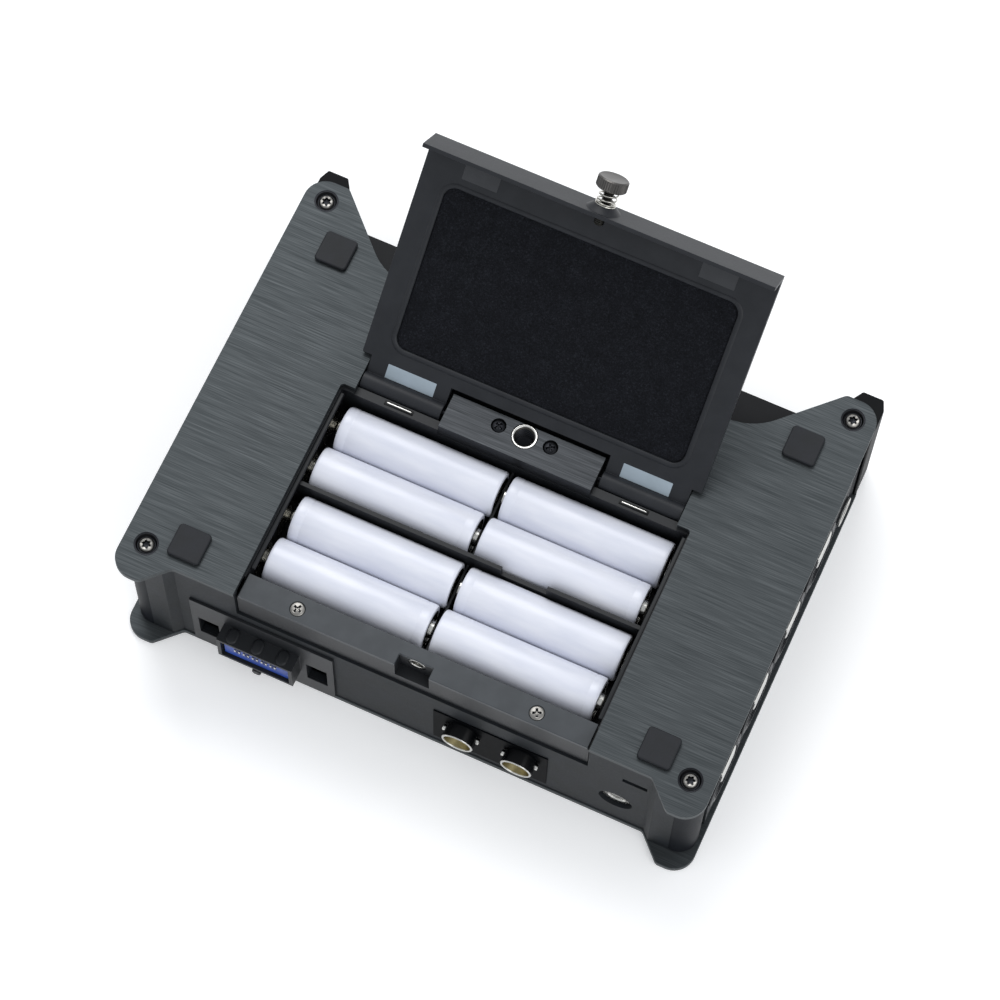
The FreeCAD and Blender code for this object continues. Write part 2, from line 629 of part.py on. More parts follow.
def make_rear_panel():
    body = document.addObject("PartDesign::Body", "rear_panel_body")
    outline = new_sketch(body, "rear_panel_outline", level="cover_thickness")
    post_back = size.screw_y + size.post_radius
    slant = post_back - size.rear_face
    wall = size.panel_thickness
    inner_turn = size.rear_slant_x + 0.4 * wall
    draw_outline(outline, mirrored([
        (size.rear_slant_x, -size.rear_face, 0),
        (size.rear_slant_x + slant, -post_back, 0),
        (size.screw_x, -post_back, 0),
        (size.screw_x, wall - post_back, 0),
        (inner_turn + slant, wall - post_back, 0),
        (inner_turn, wall - size.rear_face, 0),
    ]))
    pad(body, outline, "rear_panel_pad", f"{PLATE_UNDER} - cover_thickness")
    through = ("0 - rear_ear", "0 - hood_back")
    tools = post_hollows("rear_panel", "rear")
    tools.append(block(
        "flange_recess", ("0 - bay_cut", "bay_cut"), through,
        ("body_height - flange_height - flange_room", "body_height"),
    ))
    tools.append(block(
        "port_hole", ("port_x - hood_half_width - seam", "port_x + hood_half_width + seam"), through,
        ("port_level - hood_half_height - seam", "port_level + hood_half_height + seam"),
    ))
    for side in ("-", "+"):
        middle = f"(port_x {side} clip_hole_x)"
        tools.append(block(
            f"clip_hole_{len(tools)}",
            (f"{middle} - clip_hole_half_width", f"{middle} + clip_hole_half_width"), through,
            ("clip_hole_low", "clip_hole_high"),
        ))
    length = "rear_ear - hood_back"
    tools.append(rod("lock_hole", "lock_radius + button_play", length, ("port_x", "0 - rear_ear", "lock_level"), "+y"))
    for index in range(2):
        at = (f"sync_first_x + {index} * sync_pitch", "0 - rear_ear", "sync_level")
        tools.append(rod(f"sync_hole_{index}", "sync_barrel + seam", length, at, "+y"))
    tools.append(rod("dc_panel_hole", "dc_hole", length, ("dc_x", "0 - rear_ear", "dc_level"), "+y"))
    tools.append(block(
        "usb_hole", ("usb_x - usb_half_width - seam", "usb_x + usb_half_width + seam"), through,
        ("usb_level - usb_half_height - seam", "usb_level + usb_half_height + seam"),
    ))
    subpart("rear_panel", without("rear_panel_cut", body, *tools))


def make_side_panel(side, sign):
    near = "side_face - panel_thickness"
    x = (near, "side_face") if sign > 0 else ("0 - side_face", f"0 - ({near})")
    reach = "(screw_y - post_radius + seam)"
    wall = block(f"{side}_wall", x, (f"0 - {reach}", reach), ("cover_thickness", PLATE_UNDER))
    start = "jack_inner" if sign > 0 else "0 - half_width"
    tools = []
    for index in range(JACKS_A_SIDE):
        at = (start, f"jack_first_y + {index} * jack_pitch", "jack_level")
        tools.append(rod(f"{side}_jack_hole_{index}", "jack_barrel + seam", "half_width - jack_inner", at, "+x"))
    if sign > 0:
        at = ("jack_inner", "phones_y", "phones_level")
        tools.append(rod("phones_hole", "phones_barrel + seam", "half_width - jack_inner", at, "+x"))
    else:
        for index in range(2):
            low = f"card_y + {index} * card_pitch"
            tools.append(block(
                f"card_slot_{index}", ("0 - half_width", "0 - jack_inner"),
                (low, f"{low} + card_thickness"), ("card_low", "card_high"),
            ))
    subpart(f"{side}_side_panel", without(f"{side}_side_cut", wall, *tools))


def knob_places():
    """Every knob: its name, formulas for x and height, and its radius alias."""
    knobs = [
        (f"trim_knob_{index + 1}", f"trim_first_x + {index} * trim_pitch", "trim_level", "trim_radius")
        for index in range(TRACKS)
    ]
    knobs.append(("menu_dial", "dial_x", "dial_level", "dial_radius"))
    knobs.append(("phones_knob", "dial_x", "phones_knob_level", "phones_knob_radius"))
    return knobs


def make_front_panel():
    panel_back = "front_face - panel_thickness"
    across = ("0 - front_panel_half", "front_panel_half")
    wall = block("front_wall", across, (panel_back, "front_face"), ("cover_thickness", PLATE_UNDER))
    lip = block("front_lip", across, ("lip_rear", "front_face"), (f"{PLATE_UNDER} - lip_thickness", PLATE_UNDER))
    through = ("control_board", "half_width")
    length = "half_width - control_board"
    tools = []
    for name, x, level, radius in knob_places():
        tools.append(rod(f"{name}_hole", "spindle_radius + spindle_play", length, (x, "control_board", level), "+y"))
    for index in range(TRACKS):
        x = f"(trim_first_x + {index} * trim_pitch)"
        tools.append(block(
            f"pad_hole_{index}", (f"{x} - pad_half_width - seam", f"{x} + pad_half_width + seam"), through,
            ("pad_level - pad_half_height - seam", "pad_level + pad_half_height + seam"),
        ))
    for index, name in enumerate(TRANSPORT):
        x = f"(key_first_x + {index} * key_pitch)"
        tools.append(block(
            f"{name}_hole", (f"{x} - key_half_width - key_play", f"{x} + key_half_width + key_play"), through,
            ("key_level - key_half_height - key_play", "key_level + key_half_height + key_play"),
        ))
    at = ("dial_x", "control_board", "power_level")
    tools.append(rod("power_hole", "power_radius + button_play", length, at, "+y"))
    tools.append(block("screen_hole", ("screen_left", "screen_right"), through, ("screen_low", "screen_high")))
    subpart("front_panel", without("front_panel_cut", joined("front_shell", wall, lip), *tools))


# ---------------------------------------------------------------- battery bay
ROWS = [
    "row_front_y",
    "row_front_y - row_pitch",
    "row_front_y - row_pair_pitch",
    "row_front_y - row_pair_pitch - row_pitch",
]
CELL_LEVEL = "(body_height - cell_depth)"
FLOOR = "(body_height - cell_depth - cell_radius - floor_gap)"
HINGE_LEVEL = "(body_height - hinge_depth)"
TROUGH_FLOOR = "(body_height - mount_thickness)"
STRIP_UNDER = "(body_height - strip_depth - strip_thickness)"
THUMB_LEVEL = "(body_height - thumb_depth)"


def make_battery_tray():
    outer = "(bay_half_width + bay_wall)"
    front = "(wing_cut_front + bay_wall)"
    shell = block(
        "tray_shell", (f"0 - {outer}", outer), ("0 - bay_rear - bay_wall", front),
        (f"{FLOOR} - bay_wall", f"{PLATE_UNDER}"),
    )
    ledge_block = block(
        "strip_block", ("0 - bay_half_width", "bay_half_width"), ("0 - block_face", "0 - bay_rear"),
        ("body_height - flange_height - flange_room + seam", STRIP_UNDER),
    )
    bay = block(
        "bay_hollow", ("0 - bay_half_width", "bay_half_width"), ("0 - bay_rear", "bay_front"), (FLOOR, "body_height"),
    )
    under_trough = block(
        "trough_underside", ("0 - bay_half_width", "bay_half_width"), ("bay_front + bay_wall", "wing_cut_front"),
        ("0", f"{TROUGH_FLOOR} - bay_wall"),
    )
    wing = "(wing_outer + 2 * cut_play)"
    ledge_rear = "hinge_y - knuckle_radius - 2 * cut_play"
    trough = block("hinge_trough", (f"0 - {wing}", wing), (ledge_rear, "wing_cut_front"), (TROUGH_FLOOR, "body_height"))
    ledge_top = block(
        "ledge_top", (f"0 - {wing}", wing), ("bay_front - seam", "wing_cut_front"),
        ("body_height - strip_depth", "body_height"),
    )
    mount_seat = block(
        "mount_seat", ("0 - mount_half_width - seam", "mount_half_width + seam"), ("bay_front - seam", "wing_cut_front"),
        (TROUGH_FLOOR, "body_height"),
    )
    strip_seat = block(
        "strip_seat", ("0 - bay_half_width", "bay_half_width"), ("0 - rear_ear", "0 - bay_rear"),
        (STRIP_UNDER, "body_height"),
    )
    nut_notch = block(
        "nut_notch", ("0 - notch_half_width", "notch_half_width"), ("0 - rear_ear", "nut_set_back - block_face"),
        (f"{THUMB_LEVEL} - notch_half_width", "body_height"),
    )
    nut_hole = rod("nut_seat", "nut_radius + seam", "block_face - bay_rear", ("0", "0 - block_face", THUMB_LEVEL), "+y")
    bush_hole = rod("bush_seat", "bush_outer + seam", "bush_length", ("0", "bush_y", "body_height"), "-z")
    pin_at = ("0 - half_width", "hinge_y", HINGE_LEVEL)
    pin_hole = rod("pin_seat", "pin_radius + pin_play", "2 * half_width", pin_at, "+x")
    screw_holes = [
        rod(f"strip_screw_seat_{index}", "small_shank", "small_length",
            (f"{sign}strip_screw_x", "0 - strip_screw_y", STRIP_UNDER), "-z")
        for index, sign in enumerate(("0 - ", ""))
    ]
    hollowed = without(
        "tray_hollowed", joined("tray_solid", shell, ledge_block), bay, under_trough, trough, ledge_top,
        mount_seat, strip_seat, nut_notch, nut_hole, bush_hole, pin_hole, *screw_holes,
    )
    middle = "(row_front_y - (row_pair_pitch + row_pitch) / 2)"
    rib_y = (f"{middle} - divider / 2", f"{middle} + divider / 2")
    rib = block(
        "long_rib", ("0 - bay_half_width", "bay_half_width"), rib_y, (FLOOR, "body_height - divider_drop"),
    )
    finger_notch = block(
        "finger_notch", ("finger_x", "finger_x + finger_length"), rib_y,
        ("body_height - divider_drop - finger_drop", "body_height"),
    )
    end_rib = block("end_rib", ("0 - end_rib / 2", "end_rib / 2"), ("0 - bay_rear", "bay_front"), (FLOOR, CELL_LEVEL))
    subpart("battery_tray", joined("battery_tray_fuse", hollowed, without("notched_rib", rib, finger_notch), end_rib))


def make_batteries():
    nub = size.cell_length - size.cell_nub_height
    profile = [
        (0, 0), (size.cell_radius, 0), (size.cell_radius, nub),
        (size.cell_nub_radius, nub), (size.cell_nub_radius, size.cell_length), (0, size.cell_length),
    ]
    number = 0
    for row, y in enumerate(ROWS):
        for column in (-1, 1):
            number += 1
            towards = "+x" if row % 2 == 0 else "-x"
            near = "cell_gap / 2"
            far = "(cell_gap / 2 + cell_length)"
            if column > 0:
                start = near if towards == "+x" else far
            else:
                start = f"0 - {far}" if towards == "+x" else f"0 - {near}"
            cell = turned(f"cell_{number}", profile, (start, y, CELL_LEVEL), towards)
            subpart(f"battery_{number}", cell)


def make_contacts():
    solids = []
    for side, sign in (("left", -1), ("right", 1)):
        for pair in range(2):
            first = f"({ROWS[2 * pair]})"
            inner = "bay_half_width - contact_thickness"
            x = (inner, "bay_half_width") if sign > 0 else ("0 - bay_half_width", f"0 - ({inner})")
            low = f"{first} - row_pitch - 0.6 * cell_radius"
            high = f"{first} + 0.6 * cell_radius"
            solids.append(block(
                f"contact_plate_{side}_{pair}", x, (low, high),
                (f"{CELL_LEVEL} - 0.7 * cell_radius", f"{CELL_LEVEL} + 0.6 * cell_radius"),
            ))
        for row, y in enumerate(ROWS):
            start = "(cell_gap / 2 + cell_length + contact_gap)"
            length = f"bay_half_width - contact_thickness - {start}"
            at = (start if sign > 0 else f"0 - {start}", y, CELL_LEVEL)
            towards = "+x" if sign > 0 else "-x"
            sprung = (row % 2 == 0) == (sign < 0)
            button = rod(f"contact_{side}_{row}", "coil_radius" if sprung else "cell_nub_radius", length, at, towards)
            if sprung:
                core = rod(f"contact_core_{side}_{row}", "coil_radius - coil_wire", length, at, towards)
                button = without(f"contact_coil_{side}_{row}", button, core)
            solids.append(button)
    subpart("battery_contacts", group("battery_contacts_group", *solids))


def make_latch_strip():
    strip = block(
        "strip_bar", ("0 - strip_half_width", "strip_half_width"), ("0 - strip_rear", "0 - bay_rear"),
        (STRIP_UNDER, "body_height - strip_depth"),
    )
    notch = block(
        "strip_notch", ("0 - notch_half_width", "notch_half_width"), ("0 - rear_ear", "nut_set_back - block_face - seam"),
        (STRIP_UNDER, "body_height"),
    )
    nut_room = rod("strip_nut_room", "nut_radius + seam", "block_face", ("0", "0 - block_face", THUMB_LEVEL), "+y")
    tools = [notch, nut_room]
    for index, sign in enumerate(("0 - ", "")):
        at = (f"{sign}strip_screw_x", "0 - strip_screw_y", STRIP_UNDER)
        tools.append(rod(f"strip_screw_hole_{index}", "small_head_radius", "body_height", at))
    subpart("latch_strip", without("latch_strip_cut", strip, *tools))


def make_small_screws():
    screws = []
    seats = []
    for index, sign in enumerate(("0 - ", "")):
        strip_top = "body_height - strip_depth"
        seats.append((f"{sign}strip_screw_x", "0 - strip_screw_y", strip_top, "strip_thickness"))
        seats.append((f"{sign}mount_screw_x", "bush_y", "body_height - small_head_height / 2", "small_head_height"))
    for index, (x, y, top, deep) in enumerate(seats):
        head = rod(f"small_head_{index}", "small_head_radius", deep, (x, y, f"{top} - {deep}"))
        shank = rod(f"small_shank_{index}", "small_shank", "small_length", (x, y, f"{top} - {deep}"), "-z")
        screws.append(joined(f"small_screw_{index}", head, shank))
    subpart("small_screws", group("small_screws_group", *screws))


# ---------------------------------------------------------------- tripod mount
def make_tripod_mount():
    body = block(
        "mount_block", ("0 - mount_half_width", "mount_half_width"), ("mount_rear", "mount_front"),
        (TROUGH_FLOOR, "body_height"),
    )
    tools = [rod("mount_bush_hole", "bush_outer + seam", "bush_length", ("0", "bush_y", "body_height"), "-z")]
    for index, sign in enumerate(("0 - ", "")):
        at = (f"{sign}mount_screw_x", "bush_y", "body_height")
        tools.append(rod(f"mount_dish_{index}", "small_head_radius", "1.5 * small_head_height", at, "-z"))
        tools.append(rod(f"mount_screw_hole_{index}", "small_shank", "mount_thickness", at, "-z"))
        towards = "+x" if sign else "-x"
        at = (f"{sign}mount_half_width", "hinge_y", HINGE_LEVEL)
        tools.append(rod(f"mount_pin_hole_{index}", "pin_radius + pin_play", "pin_hold", at, towards))
    subpart("tripod_mount", without("tripod_mount_cut", body, *tools))
    bush = [
        (0, 0), (size.bush_outer, 0), (size.bush_outer, size.bush_length),
        (size.bush_bore, size.bush_length), (size.bush_bore, size.bush_floor), (0, size.bush_floor),
    ]
    subpart("tripod_bush", turned("bush", bush, ("0", "bush_y", "body_height - bush_length")))


# ---------------------------------------------------------------- battery door
def lining_shape(name, room, level, height):
    """The lining's outline, made larger all round by some room and padded from a level."""
    body = document.addObject("PartDesign::Body", f"{name}_body")
    outline = new_sketch(body, f"{name}_outline", level=level)
    half, rear, front = size.lining_half_width + room, -size.lining_rear - room, size.lining_front + room
    corners = [(-half, rear), (half, rear), (half, front), (-half, front)]
    draw_outline(outline, [(x, y, size.lining_corner + room) for x, y in corners])
    pad(body, outline, f"{name}_pad", height)
    return body


def make_door():
    panel = block(
        "door_panel", ("0 - door_half_width", "door_half_width"), ("0 - flange_face", "door_front"),
        ("body_height - door_thickness", "body_height"),
    )
    flange = block(
        "door_flange", ("0 - door_half_width", "door_half_width"), ("0 - flange_face", "flange_thickness - flange_face"),
        ("body_height - flange_height", "body_height"),
    )
    boss = document.addObject("Part::Cone", "door_boss")
    boss.Placement = Placement(Vector(), TURNS["-y"])
    bind(boss, "Radius1", "boss_radius")
    bind(boss, "Radius2", "boss_top_radius")
    bind(boss, "Height", "boss_height")
    place(boss, "0", "0 - flange_face", THUMB_LEVEL)
    solids = [panel, flange, boss]
    tools = []
    pin_bore = "pin_radius + pin_play"
    for index, (low, high) in enumerate((("0 - wing_outer", "0 - wing_inner"), ("wing_inner", "wing_outer"))):
        solids.append(block(
            f"door_wing_{index}", (low, high), ("door_front", "hinge_y"),
            ("body_height - door_thickness", "body_height"),
        ))
        at = (low, "hinge_y", HINGE_LEVEL)
        solids.append(rod(f"door_knuckle_{index}", "knuckle_radius", "wing_outer - wing_inner", at, "+x"))
        tools.append(rod(f"door_pin_bore_{index}", pin_bore, "wing_outer - wing_inner", at, "+x"))
    tools.append(lining_shape("door_recess", size.recess_play, "0", "body_height - door_thickness + recess_depth"))
    tools.append(rod(
        "door_screw_bore", "thumb_shank + thumb_play", "boss_height + 2 * flange_thickness",
        ("0", "0 - flange_face - boss_height", THUMB_LEVEL), "+y",
    ))
    subpart("battery_door", swung(without("door_cut", joined("door_solid", *solids), *tools)))
    lining_under = "body_height - door_thickness + recess_depth - lining_thickness"
    lining = lining_shape("lining_sheet", 0, lining_under, "lining_thickness")
    subpart("door_lining", swung(group("door_lining_group", lining)))


def make_hinge_pins():
    pins = []
    for index, sign in enumerate(("0 - ", "")):
        start = "(mount_half_width - pin_hold)"
        at = (f"{sign}{start}", "hinge_y", HINGE_LEVEL)
        length = f"bay_half_width + bay_wall - {start}"
        pins.append(rod(f"hinge_pin_{index}", "pin_radius", length, at, "-x" if sign else "+x"))
    subpart("hinge_pins", group("hinge_pins_group", *pins))


def make_thumbscrew():
    boss_top = "(flange_face + boss_height)"
    at = ("0", f"0 - {boss_top}", THUMB_LEVEL)
    coil = rod("spring_coil", "spring_outer", "spring_length", at, "-y")
    core = rod("spring_core", "spring_outer - spring_wall", "spring_length", at, "-y")
    subpart("thumbscrew_spring", swung(without("spring_cut", coil, core)))
    clip_face = "(flange_face - flange_thickness - clip_gap)"
    clip_at = ("0", f"0 - {clip_face}", THUMB_LEVEL)
    disc = rod("clip_disc", "clip_radius", "clip_thickness", clip_at, "+y")
    hole = rod("clip_hole", "thumb_shank + thumb_play", "clip_thickness", clip_at, "+y")
    subpart("thumbscrew_clip", swung(without("clip_cut", disc, hole)))
    head_start = size.flange_face + size.boss_height + size.spring_length
    tip = size.block_face - size.nut_set_back + size.tip_gap
    length = head_start - tip
    profile = [
        (0, 0), (size.thumb_shank, 0), (size.thumb_shank, length), (size.thumb_head_radius, length),
        (size.thumb_head_radius, length + size.thumb_head_height), (0, length + size.thumb_head_height),
    ]
    tip_y = "nut_set_back - block_face - tip_gap"
    screw = turned("thumb_body", profile, ("0", tip_y, THUMB_LEVEL), "-y")
    subpart("thumbscrew", swung(group("thumbscrew_group", screw)))
    nut_length = size.block_face - size.nut_set_back - size.bay_rear
    bore = size.thumb_shank + size.thumb_play
    nut = [(bore, 0), (size.nut_radius, 0), (size.nut_radius, nut_length), (bore, nut_length)]
    subpart("thumbscrew_nut", turned("nut_body", nut, ("0", "nut_set_back - block_face", THUMB_LEVEL), "+y"))


# ---------------------------------------------------------------- rear connectors
def make_option_port():
    frame_face = "(rear_face + port_frame_proud)"
    frame = block(
        "port_frame", ("port_x - port_frame_half", "port_x + port_frame_half"),
        (f"0 - {frame_face}", "0 - rear_face"), ("port_frame_low", "port_frame_high"),
    )
    hood = block(
        "port_hood", ("port_x - hood_half_width", "port_x + hood_half_width"),
        ("0 - rear_face - hood_reach", "0 - hood_back"),
        ("port_level - hood_half_height", "port_level + hood_half_height"),
    )
    mouth = block(
        "port_mouth", ("port_x - hood_half_width + hood_wall", "port_x + hood_half_width - hood_wall"),
        ("0 - rear_ear", "0 - hood_back - hood_wall"),
        ("port_level - hood_half_height + hood_wall", "port_level + hood_half_height - hood_wall"),
    )
    tools = [mouth]
    for index, side in enumerate(("-", "+")):
        middle = f"(port_x {side} clip_hole_x)"
        tools.append(block(
            f"port_clip_{index}", (f"{middle} - clip_hole_half_width", f"{middle} + clip_hole_half_width"),
            ("0 - rear_ear", "0 - hood_back"), ("clip_hole_low", "clip_hole_high"),
        ))
    at = ("port_x", "0 - rear_ear", "lock_level")
    tools.append(rod("port_lock_hole", "lock_radius + button_play", "rear_ear - hood_back", at, "+y"))
    subpart("option_port", without("option_port_cut", joined("port_solid", frame, hood), *tools))
    edge = "(hood_wall + insert_play)"
    insert = block(
        "port_insert_block",
        (f"port_x - hood_half_width + {edge}", f"port_x + hood_half_width - {edge}"),
        ("0 - rear_face - hood_reach + insert_set_back", "0 - hood_back - hood_wall"),
        (f"port_level - hood_half_height + {edge}", f"port_level + hood_half_height - {edge}"),
    )
    subpart("option_port_insert", insert)
    button = rod(
        "lock_body", "lock_radius", "rear_face + lock_reach - hood_back",
        ("port_x", "0 - rear_face - lock_reach", "lock_level"), "+y",
    )
    subpart("port_release", button)


def make_sync_jacks():
    panel = block(
        "sync_plate", ("sync_left", "sync_right"), ("0 - rear_face - sync_proud", "0 - rear_face"),
        ("sync_low", "sync_high"),
    )
    tools = []
    jacks = []
    length = size.rear_face + size.sync_reach - size.sync_back
    bore_depth = length - size.panel_thickness
    profile = [
        (0, 0), (size.sync_barrel, 0), (size.sync_barrel, length), (size.sync_bore, length),
        (size.sync_bore, length - bore_depth), (0, length - bore_depth),
    ]
    for index in range(2):
        x = f"sync_first_x + {index} * sync_pitch"
        at = (x, "0 - rear_ear", "sync_level")
        tools.append(rod(f"sync_plate_hole_{index}", "sync_barrel + seam", "rear_ear", at, "+y"))
        barrel = turned(f"sync_barrel_{index}", profile, (x, "0 - sync_back", "sync_level"), "-y")
        lug_at = (f"{x} - lug_reach", "0 - rear_face - sync_proud - lug_radius - seam", "sync_level")
        lug = rod(f"sync_lug_{index}", "lug_radius", "2 * lug_reach", lug_at, "+x")
        keep_clear = rod(
            f"sync_clear_{index}", "sync_bore", "rear_ear - sync_back - panel_thickness",
            (x, "0 - rear_ear", "sync_level"), "+y",
        )
        jacks.append(without(f"sync_jack_{index}", joined(f"sync_solid_{index}", barrel, lug), keep_clear))
    subpart("sync_panel", without("sync_panel_cut", panel, *tools))
    subpart("sync_jacks", group("sync_jacks_group", *jacks))


def make_rear_sockets():
    panel_back = "(rear_face - panel_thickness)"
    body = rod(
        "dc_body", "dc_outer", f"{panel_back} - dc_back", ("dc_x", f"0 - {panel_back}", "dc_level"), "+y",
    )
    bore = rod(
        "dc_cavity", "dc_bore", f"{panel_back} - dc_back - panel_thickness",
        ("dc_x", f"0 - {panel_back}", "dc_level"), "+y",
    )
    subpart("power_inlet", without("power_inlet_cut", body, bore))
    mouth_y = "0 - rear_face + 0.4 * panel_thickness"
    shell = block(
        "usb_shell", ("usb_x - usb_half_width", "usb_x + usb_half_width"), (mouth_y, "0 - usb_back"),
        ("usb_level - usb_half_height", "usb_level + usb_half_height"),
    )
    inside = block(
        "usb_inside", ("usb_x - usb_half_width + usb_wall", "usb_x + usb_half_width - usb_wall"),
        (mouth_y, "0 - usb_back - usb_wall"),
        ("usb_level - usb_half_height + usb_wall", "usb_level + usb_half_height - usb_wall"),
    )
    subpart("data_socket", without("data_socket_cut", shell, inside))


# ---------------------------------------------------------------- side jacks
def make_side_jacks(side, sign):
    towards = "+x" if sign > 0 else "-x"
    minus = "" if sign > 0 else "0 - "
    solids = []
    for index in range(JACKS_A_SIDE):
        y = f"jack_first_y + {index} * jack_pitch"
        barrel = rod(
            f"{side}_barrel_{index}", "jack_barrel", "side_face - jack_inner",
            (f"{minus}jack_inner", y, "jack_level"), towards,
        )
        bezel = rod(
            f"{side}_bezel_{index}", "jack_bezel", "jack_proud", (f"{minus}side_face", y, "jack_level"), towards,
        )
        socket = rod(
            f"{side}_socket_{index}", "jack_socket", "half_width - jack_inner",
            (f"{minus}(jack_inner + jack_floor)", y, "jack_level"), towards,
        )
        tools = [socket]
        if index == 0:
            at = (f"{minus}screw_x", "0 - screw_y", "0")
            tools.append(rod(f"{side}_post_room", "post_radius + seam", "body_height", at))
        solids.append(without(f"{side}_jack_{index}", joined(f"{side}_jack_solid_{index}", barrel, bezel), *tools))
    if sign > 0:
        barrel = rod(
            "phones_body", "phones_barrel", "side_face + jack_proud - phones_inner",
            ("phones_inner", "phones_y", "phones_level"), towards,
        )
        bore = rod("phones_cavity", "phones_bore", "half_width", ("phones_inner", "phones_y", "phones_level"), towards)
        solids.append(without("phones_jack", barrel, bore))
    subpart(f"{side}_jacks", group(f"{side}_jacks_group", *solids))


# ---------------------------------------------------------------- controls
def make_knobs():
    for name, x, level, radius_alias in knob_places():
        radius = getattr(size, radius_alias)
        behind = size.spindle_length
        top = behind + (size.dial_length if name == "menu_dial" else size.knob_length)
        taper = 0.93 * radius
        profile = [
            (0, 0), (size.spindle_radius, 0), (size.spindle_radius, behind), (radius, behind),
            (taper, top), (0, top),
        ]
        at = (x, "front_face + knob_gap - spindle_length", level)
        subpart(name, turned(f"{name}_body", profile, at, "+y"))


def make_keys():
    for index, name in enumerate(TRANSPORT):
        x = f"(key_first_x + {index} * key_pitch)"
        subpart(name, block(
            f"{name}_cap", (f"{x} - key_half_width", f"{x} + key_half_width"),
            ("key_back", "front_face + key_proud"),
            ("key_level - key_half_height", "key_level + key_half_height"),
        ))
    power = rod(
        "power_cap", "power_radius", "front_face + key_proud - key_back", ("dial_x", "key_back", "power_level"), "+y",
    )
    subpart("power_key", power)


def make_keypad():
    panel_back = "(front_face - panel_thickness)"
    last = f"(trim_first_x + {TRACKS - 1} * trim_pitch)"
    edge = "(pad_half_width + panel_thickness)"
    solids = [block(
        "keypad_sheet", (f"trim_first_x - {edge}", f"{last} + {edge}"), (f"{panel_back} - pad_sheet", panel_back),
        ("pad_level - pad_half_height - panel_thickness", "pad_level + pad_half_height + panel_thickness"),
    )]
    for index in range(TRACKS):
        x = f"(trim_first_x + {index} * trim_pitch)"
        solids.append(block(
            f"track_key_{index}", (f"{x} - pad_half_width", f"{x} + pad_half_width"),
            (panel_back, "front_face + pad_proud"),
            ("pad_level - pad_half_height", "pad_level + pad_half_height"),
        ))
    subpart("track_keypad", joined("track_keypad_fuse", *solids))


# ---------------------------------------------------------------- display and boards
def make_display():
    back = "(front_face - panel_thickness)"
    window = block(
        "window_pane", ("screen_left + seam", "screen_right - seam"), (back, f"{back} + screen_thickness"),
        ("screen_low + seam", "screen_high - seam"),
    )
    subpart("display_window", window)


def make_boards():
    level = ("board_level", "board_level + board_thickness")
    main = block("main_sheet", ("0 - board_half_width", "board_half_width"), ("0 - board_rear", "board_front"), level)
    sheet_back = "control_board - board_thickness"
    control = block(
        "control_sheet", ("0 - control_half_width", "control_half_width"), (sheet_back, "control_board"),
        ("2 * cover_thickness", f"{PLATE_UNDER} - lip_thickness - cover_thickness"),
    )
    panel_back = "(front_face - panel_thickness)"
    solids = [control]
    cores = []
    for name, x, level_alias, radius in knob_places():
        at = (x, "control_board", level_alias)
        solids.append(rod(f"{name}_pot", "pot_radius", f"{panel_back} - control_board", at, "+y"))
        cores.append(rod(
            f"{name}_pot_bore", "spindle_radius + spindle_play", "front_face",
            (x, "front_face + knob_gap - spindle_length - seam", level_alias), "+y",
        ))
    switches = [(f"{name}_switch", f"key_first_x + {i} * key_pitch", "key_level") for i, name in enumerate(TRANSPORT)]
    switches.append(("power_switch", "dial_x", "power_level"))
    for name, x, level_alias in switches:
        length = "key_back - key_travel - seam - control_board"
        solids.append(rod(name, "key_half_height / 2", length, (x, "control_board", level_alias), "+y"))
    solids.append(block(
        "display_block", ("screen_left - 1", "screen_right + 1"), ("control_board", panel_back),
        ("screen_low - 1", "screen_high + 1"),
    ))
    front_assembly = without("control_assembly", joined("control_solid", *solids), *cores)
    subpart("circuit_boards", group("circuit_boards_group", main, front_assembly))


make_bottom_plate()
make_top_cover()
make_corners()
make_bumpers()
make_feet()
make_rear_panel()
make_side_panel("left", -1)
make_side_panel("right", 1)
make_front_panel()
make_battery_tray()
make_batteries()
make_contacts()
make_latch_strip()
make_small_screws()
make_tripod_mount()
make_door()
make_hinge_pins()
make_thumbscrew()
make_option_port()
make_sync_jacks()
make_rear_sockets()
make_side_jacks("left", -1)
make_side_jacks("right", 1)
make_knobs()
make_keys()
make_keypad()
make_display()
make_boards()
document.recompute()

failed = [thing.Name for thing in document.Objects if {"Invalid", "Error"} & set(thing.State)]
if failed:
    raise RuntimeError(f"failed objects: {failed}")
for thing in subparts:
    if thing.Shape.isNull() or not thing.Shape.isValid():
        raise RuntimeError(f"bad shape: {thing.Label}")
os.makedirs("parts", exist_ok=True)
for thing in subparts:
    thing.Shape.exportStep(f"parts/{thing.Label}.step")
    solids = thing.Shape.Solids
    print(f"{thing.Label}: {len(solids)} solids, {thing.Shape.Volume:.0f} mm3")
print(f"{len(subparts)} sub-parts")
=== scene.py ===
# %% [markdown]
# # A portable field recorder with its battery door open
# The recorder lies upside down on its top cover. Its underside faces up, the battery door stands open
# on its hinge, and eight cells lie in the bay. The solids come packed from the CAD model, so each
# piece here takes its place from a solid's box. Drawing happens in millimetres and is scaled once.

import json
import math

import bmesh
import bpy
from mathutils import Matrix, Vector, noise


